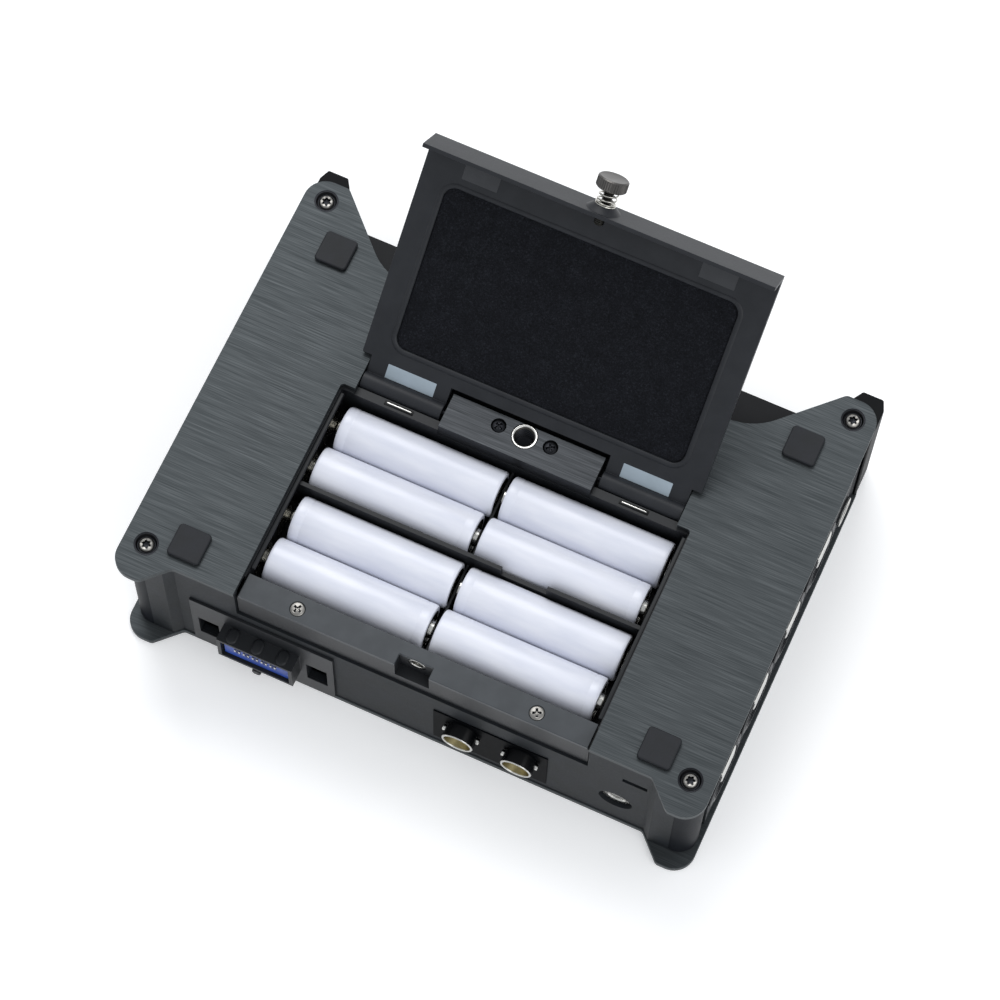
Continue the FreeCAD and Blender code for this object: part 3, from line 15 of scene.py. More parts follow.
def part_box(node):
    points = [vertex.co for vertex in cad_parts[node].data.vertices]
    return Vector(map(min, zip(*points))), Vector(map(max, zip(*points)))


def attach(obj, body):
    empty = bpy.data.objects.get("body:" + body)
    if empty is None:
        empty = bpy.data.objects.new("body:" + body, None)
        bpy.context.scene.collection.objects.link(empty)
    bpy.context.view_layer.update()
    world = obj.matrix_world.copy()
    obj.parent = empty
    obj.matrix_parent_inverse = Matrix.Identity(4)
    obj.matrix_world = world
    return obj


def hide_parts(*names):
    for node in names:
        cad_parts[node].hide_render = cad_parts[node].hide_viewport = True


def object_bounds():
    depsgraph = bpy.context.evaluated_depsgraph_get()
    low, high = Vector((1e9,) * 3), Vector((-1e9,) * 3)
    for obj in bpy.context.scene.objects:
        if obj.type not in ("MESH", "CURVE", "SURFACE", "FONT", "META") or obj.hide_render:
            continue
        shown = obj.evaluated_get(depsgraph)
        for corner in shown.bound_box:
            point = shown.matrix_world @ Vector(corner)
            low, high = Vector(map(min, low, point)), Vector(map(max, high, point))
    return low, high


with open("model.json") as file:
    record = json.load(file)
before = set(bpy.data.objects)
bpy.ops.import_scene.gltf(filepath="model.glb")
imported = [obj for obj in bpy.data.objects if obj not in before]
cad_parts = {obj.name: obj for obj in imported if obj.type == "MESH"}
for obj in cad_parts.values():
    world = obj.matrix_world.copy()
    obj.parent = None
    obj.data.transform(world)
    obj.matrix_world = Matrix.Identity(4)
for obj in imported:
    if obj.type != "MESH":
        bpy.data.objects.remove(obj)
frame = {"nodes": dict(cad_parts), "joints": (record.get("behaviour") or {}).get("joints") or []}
nodes = frame["nodes"]
cad_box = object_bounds()
print(len(nodes), "solids loaded")


# %% [markdown]
# ## The camera
# A long lens looks down steeply from behind the rear panel, a little to one side. A look-at
# constraint would do, but a target, two angles, a roll and a distance say the same in plain numbers.
# The small shift only moves the framing.

# %% Camera
TARGET = Vector((-4.6, 5.1, 30.0)) / 1000
AZIMUTH, ELEVATION, ROLL = 22.40, 68.08, 2.11
DISTANCE = 1.0105

camera_data = bpy.data.cameras.new("camera")
camera_data.lens = 126.8
camera_data.sensor_width = 36
camera_data.shift_x, camera_data.shift_y = 0.0059, -0.0101
camera_data.clip_start, camera_data.clip_end = 0.05, 20
camera = bpy.data.objects.new("camera", camera_data)
bpy.context.scene.collection.objects.link(camera)
a, e = math.radians(AZIMUTH), math.radians(ELEVATION)
back = Vector((math.sin(a) * math.cos(e), -math.cos(a) * math.cos(e), math.sin(e)))
camera.location = TARGET + back * DISTANCE
turn = (-back).to_track_quat("-Z", "Y") @ Matrix.Rotation(math.radians(ROLL), 3, "Z").to_quaternion()
camera.rotation_mode = "QUATERNION"
camera.rotation_quaternion = turn
bpy.context.scene.camera = camera
print("camera at", tuple(round(v, 3) for v in camera.location))

# %% [markdown]
# ## Studio light and floor
# Product pictures of dark metal are lit by big soft sources, so that brushed faces show one broad
# sheen and no hard highlights. Two large area lights in a bright room do that, and the floor glows a
# little, as a light table does, to keep the shadow faint. A sun would leave sharp shadows.

# %% Light and floor
scene = bpy.context.scene
scene.view_settings.view_transform = "Standard"
world = bpy.data.worlds.new("studio")
world.use_nodes = True
background = world.node_tree.nodes["Background"]
background.inputs["Color"].default_value = (0.93, 0.96, 1.0, 1)
background.inputs["Strength"].default_value = 0.72
scene.world = world


def softbox(name, place, size, power):
    """A square area light that looks at the recorder."""
    light = bpy.data.lights.new(name, "AREA")
    light.size, light.energy = size, power
    lamp = bpy.data.objects.new(name, light)
    lamp.location = place
    lamp.rotation_euler = (TARGET - Vector(place)).to_track_quat("-Z", "Y").to_euler()
    scene.collection.objects.link(lamp)


softbox("key", (-0.5, 0.9, 1.5), 1.0, 14)
softbox("fill", (1.1, -0.5, 1.0), 1.2, 7)


def linear(code):
    """Turns an sRGB hex colour to Blender's linear values."""
    channels = [int(code[i : i + 2], 16) / 255 for i in (1, 3, 5)]
    return (*[c / 12.92 if c <= 0.04045 else ((c + 0.055) / 1.055) ** 2.4 for c in channels], 1.0)


# %% [markdown]
# ## How materials are made
# Each finish starts from one principled shader with its plain values set on its own sockets.
# Patterns are then linked in. One function adds any node, its settings, its values and its links, so
# a material reads as a short list.

# %% Material helpers
def finish(name, colour, roughness, metallic=0.0, **sockets):
    """A new material with one principled shader; returns the tree and the shader."""
    made = bpy.data.materials.new(name)
    made.use_nodes = True
    made.diffuse_color = linear(colour)
    shader = made.node_tree.nodes["Principled BSDF"]
    values = {"Base Color": linear(colour), "Roughness": roughness, "Metallic": metallic}
    values.update({key.replace("_", " "): value for key, value in sockets.items()})
    for socket, value in values.items():
        shader.inputs[socket].default_value = value
    return made.node_tree, shader


def add(tree, kind, values=(), links=(), **settings):
    """Adds a node: settings on the node, values on its sockets, links from other nodes' outputs."""
    made = tree.nodes.new(kind)
    for setting, value in settings.items():
        setattr(made, setting, value)
    for socket, value in dict(values).items():
        made.inputs[socket].default_value = value
    for socket, (source, output) in dict(links).items():
        tree.links.new(source.outputs[output], made.inputs[socket])
    return made


def per_mm(size):
    """The scale at which a pattern, in the frame's metres, repeats about every so many millimetres."""
    return 1000.0 / size


def ramp(tree, source, output, stops):
    """A colour ramp over a pattern, with stops of (place, hex colour)."""
    made = add(tree, "ShaderNodeValToRGB", links={"Fac": (source, output)})
    points = made.color_ramp.elements
    while len(points) < len(stops):
        points.new(0.5)
    for point, (place, code) in zip(points, stops):
        point.position, point.color = place, linear(code)
    return made


def bumped(tree, shader, pattern, depth, strength):
    """Raises the surface by a noise pattern, with its depth in millimetres."""
    values = {"Distance": depth / 1000, "Strength": strength}
    made = add(tree, "ShaderNodeBump", values, {"Height": (pattern, "Fac")})
    tree.links.new(made.outputs["Normal"], shader.inputs["Normal"])


def noisy(tree, vector, scale, detail=2.0, **more):
    """A noise pattern over a vector output of another node."""
    return add(tree, "ShaderNodeTexNoise", {"Scale": scale, "Detail": detail, **more}, {"Vector": vector})


def coloured(tree, shader, source, output, stops):
    """Takes the base colour from a ramp over a pattern."""
    tone = ramp(tree, source, output, stops)
    tree.links.new(tone.outputs["Color"], shader.inputs["Base Color"])


def roughened(tree, shader, source, output, least, most, **span):
    """Takes the roughness from a pattern, between two values."""
    values = {"To Min": least, "To Max": most, **{key.replace("_", " "): end for key, end in span.items()}}
    rough = add(tree, "ShaderNodeMapRange", values, {"Value": (source, output)})
    tree.links.new(rough.outputs["Result"], shader.inputs["Roughness"])


# %% [markdown]
# ## Brushed aluminium
# The two covers and the tripod mount are aluminium, brushed along the recorder's length and
# then anodised dark. Brushing leaves long fine scratches: they scatter light across themselves, so
# the sheen stretches and the tone goes streaky. One noise, 0.26 mm wide and 15 mm long, draws the
# scratches, and a second, wider one gathers them in bands. A picture of brushed metal would repeat.

# %% Brushed, anodised aluminium
SCRATCH_WIDTH, SCRATCH_LENGTH = 0.26, 15.0
BAND_WIDTH, BAND_LENGTH = 7 * SCRATCH_WIDTH, 3 * SCRATCH_LENGTH


def streaks(tree, place, length, width, detail):
    """Noise drawn out along X."""
    scale = (per_mm(length), per_mm(width), per_mm(width))
    along = add(tree, "ShaderNodeMapping", {"Scale": scale}, {"Vector": (place, "Object")})
    return noisy(tree, (along, "Vector"), 1.0, detail)


def brushed(name, dark, middle, light, roughness):
    """Dark anodised aluminium with fine streaks along X."""
    tree, shader = finish(name, middle, roughness, metallic=1.0, Anisotropic=0.3)
    place = add(tree, "ShaderNodeTexCoord")
    fine = streaks(tree, place, SCRATCH_LENGTH, SCRATCH_WIDTH, 4.0)
    wide = streaks(tree, place, BAND_LENGTH, BAND_WIDTH, 2.0)
    links = {0: (wide, "Fac"), 2: (fine, "Fac")}
    both = add(tree, "ShaderNodeMath", {1: 0.25}, links, operation="MULTIPLY_ADD")
    coloured(tree, shader, both, "Value", [(0.4, dark), (0.62, middle), (0.86, light)])
    span = {"From_Min": 0.3, "From_Max": 1.0}
    roughened(tree, shader, both, "Value", roughness + 0.07, roughness - 0.05, **span)
    bumped(tree, shader, fine, 0.012, 0.5)
    return tree


brushed_cover = brushed("brushed_anodised_aluminium", "#3F4345", "#4A4E50", "#585C5E", 0.56)
brushed_mount = brushed("brushed_black_anodised_aluminium", "#393C3E", "#46484B", "#54575A", 0.50)
print("scratches", SCRATCH_WIDTH, "mm wide")

# %% [markdown]
# ## Powder coat and moulded plastic
# The panels and the door are sheet metal with a satin powder coat: smooth, with a fine orange peel
# about 0.6 mm across. The bay, the bumpers and the port are moulded ABS, whose mould was
# spark-eroded to an even grain. Both get a faint cloudy tone from a coarse noise and their relief
# from a fine one. Voronoi cells would look like leather. Where a finish stays dark even at a
# glancing angle, its specular level is set low.

# %% Coated and moulded finishes
def grained(name, colour, roughness, grain, depth, cloud=6.0, spread=0.06, **sockets):
    """A finish with a fine relief and a faint cloudy tone; grain, depth and cloud are in millimetres."""
    tree, shader = finish(name, colour, roughness, **sockets)
    place = add(tree, "ShaderNodeTexCoord")
    clouds = noisy(tree, (place, "Object"), per_mm(cloud), 3.0)
    shade = [int(colour[i : i + 2], 16) for i in (1, 3, 5)]
    darker, lighter = [
        "#" + "".join(f"{min(255, int(c * factor)):02X}" for c in shade)
        for factor in (1 - spread, 1 + spread)
    ]
    coloured(tree, shader, clouds, "Fac", [(0.35, darker), (0.65, lighter)])
    fine = noisy(tree, (place, "Object"), per_mm(grain))
    roughened(tree, shader, fine, "Fac", roughness - 0.05, roughness + 0.05)
    bumped(tree, shader, fine, depth, 0.6)
    return tree


powder_coat = grained("satin_powder_coated_steel", "#1E2124", 0.52, 0.6, 0.01, Specular_IOR_Level=0.12)
door_coat = grained("satin_powder_coated_door", "#222428", 0.48, 0.6, 0.01, Specular_IOR_Level=0.3)
strip_coat = grained("smooth_painted_steel", "#393D41", 0.42, 0.8, 0.006, Specular_IOR_Level=0.32)
post_coat = grained("black_painted_aluminium", "#191B1F", 0.42, 0.5, 0.006, Specular_IOR_Level=0.03)
moulded_abs = grained("moulded_abs", "#1B1D20", 0.45, 0.35, 0.015, Specular_IOR_Level=0.3)
bumper_abs = grained("grained_abs", "#111214", 0.52, 0.45, 0.03, Specular_IOR_Level=0.08)
front_abs = grained("smooth_black_abs", "#141518", 0.50, 0.45, 0.01, Specular_IOR_Level=0.15)
# Glossy black ABS. The same material is also painted as shade in the ledge slots.
gloss_abs_and_shade = grained("glossy_abs", "#060709", 0.25, 2.0, 0.002, Specular_IOR_Level=0.12)
panel_abs = grained("black_insert_panel_abs", "#050608", 0.45, 0.5, 0.006, Specular_IOR_Level=0.02)
rubber = grained("moulded_rubber", "#1C1E22", 0.6, 0.4, 0.02, Specular_IOR_Level=0.3)
silicone = grained("silicone_rubber", "#2A2C30", 0.50, 0.5, 0.012, Specular_IOR_Level=0.35)
soft_touch = grained("soft_touch_coat", "#17181B", 0.58, 0.3, 0.01, Specular_IOR_Level=0.35)
blue_abs = grained("blue_moulded_abs", "#254496", 0.36, 0.4, 0.01, Specular_IOR_Level=0.3)
# Darker blue painted as the shade inside the connector's key slots.
blue_shadow = grained("blue_key_slot", "#142659", 0.45, 0.4, 0.01, Specular_IOR_Level=0.2)
board_mask = grained("green_solder_mask", "#1D5B38", 0.35, 1.5, 0.008)
white_abs = grained("white_moulded_insulator", "#D8D6CE", 0.4, 0.5, 0.005)
black_dial = grained("black_anodised_dial", "#222326", 0.34, 0.3, 0.005)
mark_paint = grained("white_pad_print", "#D5D8DA", 0.45, 0.6, 0.003, spread=0.02)
record_paint = grained("red_pad_print", "#B3262A", 0.45, 0.6, 0.003, spread=0.02)
print(len(bpy.data.materials), "materials so far")

# %% [markdown]
# ## Bare metals
# Contacts and fittings are nickel-plated steel, whose tiny pits take the edge off its mirror. The
# thumbscrew is turned and knurled steel, and the bayonet jacks' bores are brass. The bright colours
# are near the metals' own reflectances, and screws, threads and oxide are toned down from them.

# %% Bare metals
PIT_SIZE, PIT_DEPTH, STAIN_SIZE = 0.25, 0.004, 2.5


def plated(name, colour, roughness):
    """A bare or plated metal with fine pits and faint stains."""
    tree, shader = finish(name, colour, roughness, metallic=1.0)
    place = add(tree, "ShaderNodeTexCoord")
    pits = noisy(tree, (place, "Object"), per_mm(PIT_SIZE), 3.0)
    stains = noisy(tree, (place, "Object"), per_mm(STAIN_SIZE))
    roughened(tree, shader, stains, "Fac", roughness - 0.08, roughness + 0.1)
    bumped(tree, shader, pits, PIT_DEPTH, 0.5)
    return tree


nickel = plated("nickel_plated_steel", "#C9C8C4", 0.24)
screw_steel = plated("dull_nickel_screw_steel", "#8B8985", 0.34)
thread_steel = plated("machined_thread_steel", "#4A4946", 0.38)
spring_steel = plated("nickel_plated_spring_wire", "#BDBBB4", 0.20)
turned_steel = plated("turned_nickel_steel", "#5E5C5A", 0.38)
# Black oxide steel. The same dark steel is also painted as shade in screw recesses and deep in the tripod
# bush.
black_steel_and_shade = plated("black_oxide_steel", "#26272A", 0.36)
brass = plated("aged_brass", "#A39A78", 0.32)
tin = plated("tin_plated_steel", "#B9BBBE", 0.30)
print(len(bpy.data.materials), "materials so far")

# %% [markdown]
# ## Battery sleeve, felt, label and window
# A cell's sleeve is white PVC film shrunk on with heat, so it is smooth and a little glossy and shows
# faint waves. The lining is pressed wool felt: its fibres give a soft edge glow, so it gets sheen and
# a tangle of lighter specks. The labels are matt film, and the window is hard-coated acrylic.

# %% Film, felt, label and window
sleeve, shader = finish("white_pvc_shrink_sleeve", "#D9DCE6", 0.36, Coat_Weight=0.25, Coat_Roughness=0.25)
place = add(sleeve, "ShaderNodeTexCoord")
waves = streaks(sleeve, place, 14.0, 3.0, 2.0)
coloured(sleeve, shader, waves, "Fac", [(0.3, "#D3D6E2"), (0.7, "#DEE0E9")])
bumped(sleeve, shader, waves, 0.03, 0.35)

glow = {"Sheen_Weight": 0.12, "Sheen_Roughness": 0.5, "Sheen_Tint": linear("#7C8290")}
felt, shader = finish("pressed_wool_felt", "#0E0F12", 0.95, Specular_IOR_Level=0.1, **glow)
place = add(felt, "ShaderNodeTexCoord")
fibres = noisy(felt, (place, "Object"), per_mm(0.45), 8.0, Distortion=1.2)
clumps = noisy(felt, (place, "Object"), per_mm(4.0), 4.0)
links = {0: (clumps, "Fac"), 2: (fibres, "Fac")}
mix = add(felt, "ShaderNodeMath", {1: 0.2}, links, operation="MULTIPLY_ADD")
coloured(felt, shader, mix, "Value", [(0.42, "#0C0D0F"), (0.62, "#15161A"), (0.82, "#26282D")])
bumped(felt, shader, fibres, 0.25, 0.8)

label = grained("printed_label_film", "#98A5AF", 0.5, 0.8, 0.004, cloud=9.0, spread=0.03)
shade_label = grained("dark_label_film", "#2B2D31", 0.4, 0.8, 0.004)

window, shader = finish("smoked_acrylic_window", "#15181B", 0.08, Coat_Weight=0.5, Coat_Roughness=0.05)
place = add(window, "ShaderNodeTexCoord")
haze = noisy(window, (place, "Object"), per_mm(5.0))
coloured(window, shader, haze, "Fac", [(0.3, "#101316"), (0.7, "#1A1E22")])

light_table = {"Emission_Color": (1, 1, 1, 1), "Emission_Strength": 0.22}
floor_tree, shader = finish("pale_studio_floor", "#FAFAFA", 0.9, **light_table)
place = add(floor_tree, "ShaderNodeTexCoord")
mottle = noisy(floor_tree, (place, "Object"), 3.0)
coloured(floor_tree, shader, mottle, "Fac", [(0.3, "#F8F8F8"), (0.7, "#FBFBFB")])


def material_of(tree):
    """The material that owns a node tree."""
    return next(made for made in bpy.data.materials if made.use_nodes and made.node_tree == tree)


FLOOR_HALF, FLOOR_GAP = 3, 0.0002
corners = [(sx * FLOOR_HALF, sy * FLOOR_HALF, 0) for sx, sy in ((-1, -1), (1, -1), (1, 1), (-1, 1))]
mesh = bpy.data.meshes.new("floor")
mesh.from_pydata(corners, [], [(0, 1, 2, 3)])
mesh.materials.append(material_of(floor_tree))
floor = bpy.data.objects.new("floor", mesh)
floor.location.z = cad_box[0].z - FLOOR_GAP
scene.collection.objects.link(floor)
print(len(bpy.data.materials), "materials")

# %% [markdown]
# ## Finishing the CAD solids
# Most solids have the right shape already, and need only broken edges and their finish. Real edges
# are never sharp: a small round catches the light and makes a part read as solid. A CAD mesh comes as
# loose triangles, so its corners are welded and its flat faces joined before the bevel. All of that
# is modifiers, which leave the solid's own mesh as it was.

# %% Finish for each solid
WELD_DISTANCE = 1e-6
FLAT_ANGLE, EDGE_ANGLE = math.radians(0.5), math.radians(32)


def soften(node, tree, round_mm, steps=2):
    """Gives a CAD solid its finish and small rounds on its edges."""
    thing = nodes[node]
    thing.data.materials.clear()
    thing.data.materials.append(material_of(tree))
    weld = thing.modifiers.new("weld", "WELD")
    weld.merge_threshold = WELD_DISTANCE
    join = thing.modifiers.new("join", "DECIMATE")
    join.decimate_type, join.angle_limit = "DISSOLVE", FLAT_ANGLE
    bevel = thing.modifiers.new("round", "BEVEL")
    bevel.width, bevel.segments = round_mm / 1000, steps
    bevel.limit_method, bevel.angle_limit = "ANGLE", EDGE_ANGLE
    bevel.use_clamp_overlap = True
    bevel.miter_outer = "MITER_ARC"
    even = thing.modifiers.new("even", "WEIGHTED_NORMAL")
    even.keep_sharp = False


SOLID_FINISHES = {
    "bottom_plate": (brushed_cover, 0.3),
    "top_cover": (brushed_cover, 0.3),
    "corner_posts": (post_coat, 0.2),
    "front_bumpers": (bumper_abs, 0.7),
    "rubber_feet": (rubber, 0.5),
    "rear_panel": (powder_coat, 0.25),
    "left_side_panel": (powder_coat, 0.25),
    "right_side_panel": (powder_coat, 0.25),
    "front_panel": (front_abs, 0.25),
    "battery_tray": (moulded_abs, 0.25),
    "latch_strip": (strip_coat, 0.2),
    "tripod_mount": (brushed_mount, 0.35),
    "battery_door": (door_coat, 0.25),
    "hinge_pins": (black_steel_and_shade, 0.1),
    "thumbscrew_clip": (black_steel_and_shade, 0.05),
    "thumbscrew_nut": (nickel, 0.3),
    "option_port": (moulded_abs, 0.25),
    "option_port_insert": (blue_abs, 0.2),
    "port_release": (moulded_abs, 0.3),
    "sync_panel": (panel_abs, 0.15),
    "power_inlet": (gloss_abs_and_shade, 0.2),
    "data_socket": (tin, 0.08),
    "left_jacks": (moulded_abs, 0.3),
    "right_jacks": (moulded_abs, 0.3),
    "track_keypad": (silicone, 0.3),
    "display_window": (window, 0.2),
    "circuit_boards": (board_mask, 0.1),
}
for node, (tree, round_mm) in SOLID_FINISHES.items():
    soften(node, tree, round_mm)
KEYS = ("back_key", "record_key", "stop_key", "play_key", "forward_key", "power_key")
for key in KEYS:
    soften(key, silicone, 0.4, 3)
print(len(SOLID_FINISHES) + len(KEYS), "solids finished")


# %% [markdown]
# ## How new pieces are made
# Turned, knurled and pressed shapes are all stacks of rings, so one function skins a stack of rings
# with quads. A ring can be a circle, a rounded rectangle or a star. Each new piece is drawn in
# millimetres, set in place by a matrix, scaled to metres and tied to the body that it moves with.

# %% Shape helpers
def skin(rings, finishes=None, close_first=True, close_last=True):
    """Skins rings of as many points each; finishes gives a material number for each band."""
    shape = bmesh.new()
    rows = [[shape.verts.new(point) for point in ring] for ring in rings]
    for band, (low, high) in enumerate(zip(rows, rows[1:])):
        for i in range(len(low)):
            j = (i + 1) % len(low)
            face = shape.faces.new((low[i], low[j], high[j], high[i]))
            face.material_index = finishes[band] if finishes else 0
    if close_first:
        shape.faces.new(rows[0][::-1]).material_index = finishes[0] if finishes else 0
    if close_last:
        shape.faces.new(rows[-1]).material_index = finishes[-1] if finishes else 0
    return shape


def star(radius_at, level, count):
    """A ring about Z whose radius depends on the angle."""
    steps = [2 * math.pi * i / count for i in range(count)]
    return [(radius_at(t) * math.cos(t), radius_at(t) * math.sin(t), level) for t in steps]


def circle(radius, level, count=48):
    """A round ring about Z."""
    return star(lambda angle: radius, level, count)


def sleeve_of(profile, count):
    """A turned shape that stays open along its axis."""
    return skin([circle(r, h, count) for r, h in profile], None, False, False)


def turned(profile, count=48, finishes=None):
    """A turned shape about Z from (radius, height) pairs; a radius of 0 closes it."""
    return skin([circle(max(r, 0.001), h, count) for r, h in profile], finishes)


def rounded(width, height, corner, level, steps=5):
    """A rounded rectangle as a ring about Z."""
    ring = []
    for sx, sy, start in ((1, 1, 0), (-1, 1, 90), (-1, -1, 180), (1, -1, 270)):
        for i in range(steps + 1):
            t = math.radians(start + 90 * i / steps)
            ring.append((
                sx * (width / 2 - corner) + corner * math.cos(t),
                sy * (height / 2 - corner) + corner * math.sin(t),
                level,
            ))
    return ring


def pillow(width, height, depth, corner, edge, steps=3):
    """A rounded rectangular block from z = 0 up to depth, with a rounded top edge."""
    rings = [rounded(width, height, corner, 0)]
    for i in range(steps + 1):
        t = math.radians(90 * i / steps)
        inset = edge * (1 - math.cos(t))
        level = depth - edge * (1 - math.sin(t))
        rings.append(rounded(width - 2 * inset, height - 2 * inset, max(corner - inset, 0.02), level))
    return skin(rings)


def helix_tube(turns, radius, pitch, wire, end_flat=0.5, ring_count=10, steps=28):
    """A wound wire about Z, from z = 0, as a closed tube."""
    rings = []
    total = int(turns * steps)
    for i in range(total + 1):
        t = i / steps
        level = wire + pitch * min(max(t - end_flat, 0), turns - 2 * end_flat)
        angle = 2 * math.pi * t
        out = Vector((math.cos(angle), math.sin(angle), 0))
        middle = out * radius + Vector((0, 0, level))
        rings.append([
            tuple(middle + out * (wire * math.cos(s)) + Vector((0, 0, wire * math.sin(s))))
            for s in [2 * math.pi * k / ring_count for k in range(ring_count)]
        ])
    return skin(rings)


def facing(point, direction, spin=0.0):
    """A matrix that takes +Z to a direction, at a point in millimetres."""
    turn = Vector(direction).to_track_quat("Z", "Y").to_matrix().to_4x4()
    return Matrix.Translation(point) @ turn @ Matrix.Rotation(math.radians(spin), 4, "Z")


def make(name, shape, trees, body, at=Matrix(), sharp=38):
    """Writes a shape to a new object that rides on a body."""
    bmesh.ops.remove_doubles(shape, verts=shape.verts, dist=1e-4)
    bmesh.ops.recalc_face_normals(shape, faces=shape.faces)
    mesh = bpy.data.meshes.new(name)
    shape.to_mesh(mesh)
    shape.free()
    mesh.transform(Matrix.Scale(0.001, 4) @ at)
    for tree in trees:
        mesh.materials.append(material_of(tree))
    mesh.shade_smooth()
    mesh.set_sharp_from_angle(angle=math.radians(sharp))
    thing = bpy.data.objects.new(name, mesh)
    scene.collection.objects.link(thing)
    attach(thing, body)
    return thing


def box_mm(node):
    """A CAD node's lowest and highest corners, in millimetres."""
    low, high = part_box(node)
    return low * 1000, high * 1000


def middle_mm(node):
    """The middle of a CAD node's box, in millimetres."""
    low, high = box_mm(node)
    return (low + high) / 2


def merged(*shapes):
    """Several shapes as one."""
    whole = bmesh.new()
    for shape in shapes:
        mesh = bpy.data.meshes.new("part")
        shape.to_mesh(mesh)
        shape.free()
        whole.from_mesh(mesh)
        bpy.data.meshes.remove(mesh)
    return whole


def moved(shape, matrix):
    """A shape after a matrix."""
    shape.transform(matrix)
    return shape


# %% [markdown]
# ## The door's own frame
# The door is easiest to draw closed, when its panel lies flat with its outer face level with the
# bottom plate's. One matrix then swings a closed drawing to where the door stands open. Its pivot
# and angle come from the hinge joint.

# %% Door frame
joints = {joint["name"]: joint for joint in frame["joints"]}
hinge = joints["door_hinge"]
pivot = Vector(hinge["pos_m"]) * 1000
opening = -math.radians(hinge["range_deg"][1])
door_open = Matrix.Translation(pivot) @ Matrix.Rotation(opening, 4, "X") @ Matrix.Translation(-pivot)
face_level = box_mm("bottom_plate")[1].z
print("door opens", hinge["range_deg"][1], "degrees")


# %% [markdown]
# ## The cells
# A cell is a steel can in a white film sleeve. The film is shrunk over both rims, so it ends in a
# small rolled edge on each end face, and the can shows inside it with the raised contact at one end.
# A crimp near that end shows through the film as a fine line. A lathe profile gives all of it, with
# one band of film between bands of steel.

# %% Cells
CELL_PROFILE = [
    (0, 0.45), (4.9, 0.45), (5.1, 0.3), (5.6, 0.25), (5.6, 0.12), (6.3, 0.12), (6.75, 0.3), (6.98, 0.7),
    (7.0, 1.2), (7.0, 24.0), (7.0, 45.6), (6.9, 45.9), (6.9, 46.2), (7.0, 46.5), (7.0, 48.1),
    (6.95, 48.7), (6.7, 49.15), (6.2, 49.3), (5.5, 49.3), (5.5, 49.1), (4.6, 49.0), (3.2, 48.9),
    (2.75, 49.1), (2.65, 50.2), (2.4, 50.45), (0, 50.5),
]
FILM_FROM, FILM_TO = 4, 18


def make_cell(number):
    """One cell, whose raised contact points left or right by its row."""
    row = (number - 1) // 2
    low, high = box_mm(f"battery_{number}")
    middle = (low + high) / 2
    bands = [1 if FILM_FROM <= band < FILM_TO else 0 for band in range(len(CELL_PROFILE) - 1)]
    start, direction = (high.x, (-1, 0, 0)) if row % 2 == 0 else (low.x, (1, 0, 0))
    at = facing((start, middle.y, middle.z), direction, spin=37 * number)
    shape = turned(CELL_PROFILE, 64, bands)
    cell = make(f"cell_{number}", shape, [nickel, sleeve], f"battery_{number}", at)
    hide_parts(f"battery_{number}")


for number in range(1, 9):
    make_cell(number)
print("8 cells")


# %% [markdown]
# ## Battery contacts
# Each row meets a stamped plate on each end wall. At a cell's flat end the plate carries a coil
# spring, and at its raised end a pressed dimple. Plate, coil and dimple are all nickel-plated
# spring steel, so they are one piece here. The coil is a real wound tube, because light between the
# turns is what makes it read as a spring.

# %% Contacts
PLATE_THICKNESS = 0.35


def contact_shapes(row_y, side, sprung):
    """One plate with its coil or dimple, drawn along X at a wall."""
    low, high = box_mm("battery_contacts")
    wall = high.x if side > 0 else low.x
    level = middle_mm("battery_1").z
    inward = (-side, 0, 0)
    plate = pillow(10.6, 11.0, PLATE_THICKNESS, 1.2, 0.12)
    if sprung:
        touch = helix_tube(3.2, 2.55, 0.5, 0.26)
    else:
        touch = turned([(3.4, 0.0), (3.1, 0.25), (2.6, 0.5), (2.2, 1.2), (1.6, 1.7), (0, 1.85)], 32)
    return [
        moved(plate, facing((wall, row_y, level + 0.4), inward)),
        moved(touch, facing((wall - side * PLATE_THICKNESS, row_y, level), inward)),
    ]


shapes = []
for row in range(4):
    for side in (-1, 1):
        row_y = middle_mm(f"battery_{2 * row + 1}").y
        shapes += contact_shapes(row_y, side, sprung=(row % 2 == 0) == (side > 0))
contacts = make("contact_set", merged(*shapes), [spring_steel], "case")
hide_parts("battery_contacts")
print("8 contact plates")


# %% [markdown]
# ## Screws
# The corner screws have a rounded head with a six-lobed recess, and the small ones a cross recess.
# A recess is two rings of the same outline, one at the head's face and one at the floor, so the same
# skinning works if the outline's radius changes with angle. Its floor and walls are painted dark steel
# as shade, since a real recess stays in shadow. Boolean cuts would do too, but leave untidy edges on a domed
# head.

# %% Screws
def lobes(angle, radius=1.15):
    """A six-lobed outline."""
    return radius * (1 + 0.17 * math.cos(6 * angle))


def cross(angle, arm=1.25, half_width=0.33):
    """A cross outline."""
    folded = abs((angle + math.pi / 4) % (math.pi / 2) - math.pi / 4)
    return min(arm / math.cos(folded), half_width / max(math.sin(folded), 0.01))


def screw_head(radius, height, outline, recess, count=96):
    """A domed head standing on z = 0, with a recess of that outline whose floor and walls are painted dark
    as shade.
    """
    def ring(level, factor):
        return star(lambda angle: factor * outline(angle), level, count)

    top = 0.93 * height
    crown = circle(0.62 * radius + 0.25, height, count) if outline is lobes else ring(height - 0.01, 1.1)
    rings = [
        circle(0.001, top - recess - 0.15, count), ring(top - recess, 0.75), ring(top - 0.08, 0.97),
        ring(top, 1.04), crown, circle(0.8 * radius, 0.9 * height, count),
        circle(0.94 * radius, 0.62 * height, count), circle(radius, 0.25 * height, count),
        circle(radius, 0, count),
    ]
    # The recess floor and walls take material 1, the dark steel painted as shade.
    return skin(rings, [1, 1] + [0] * 6)


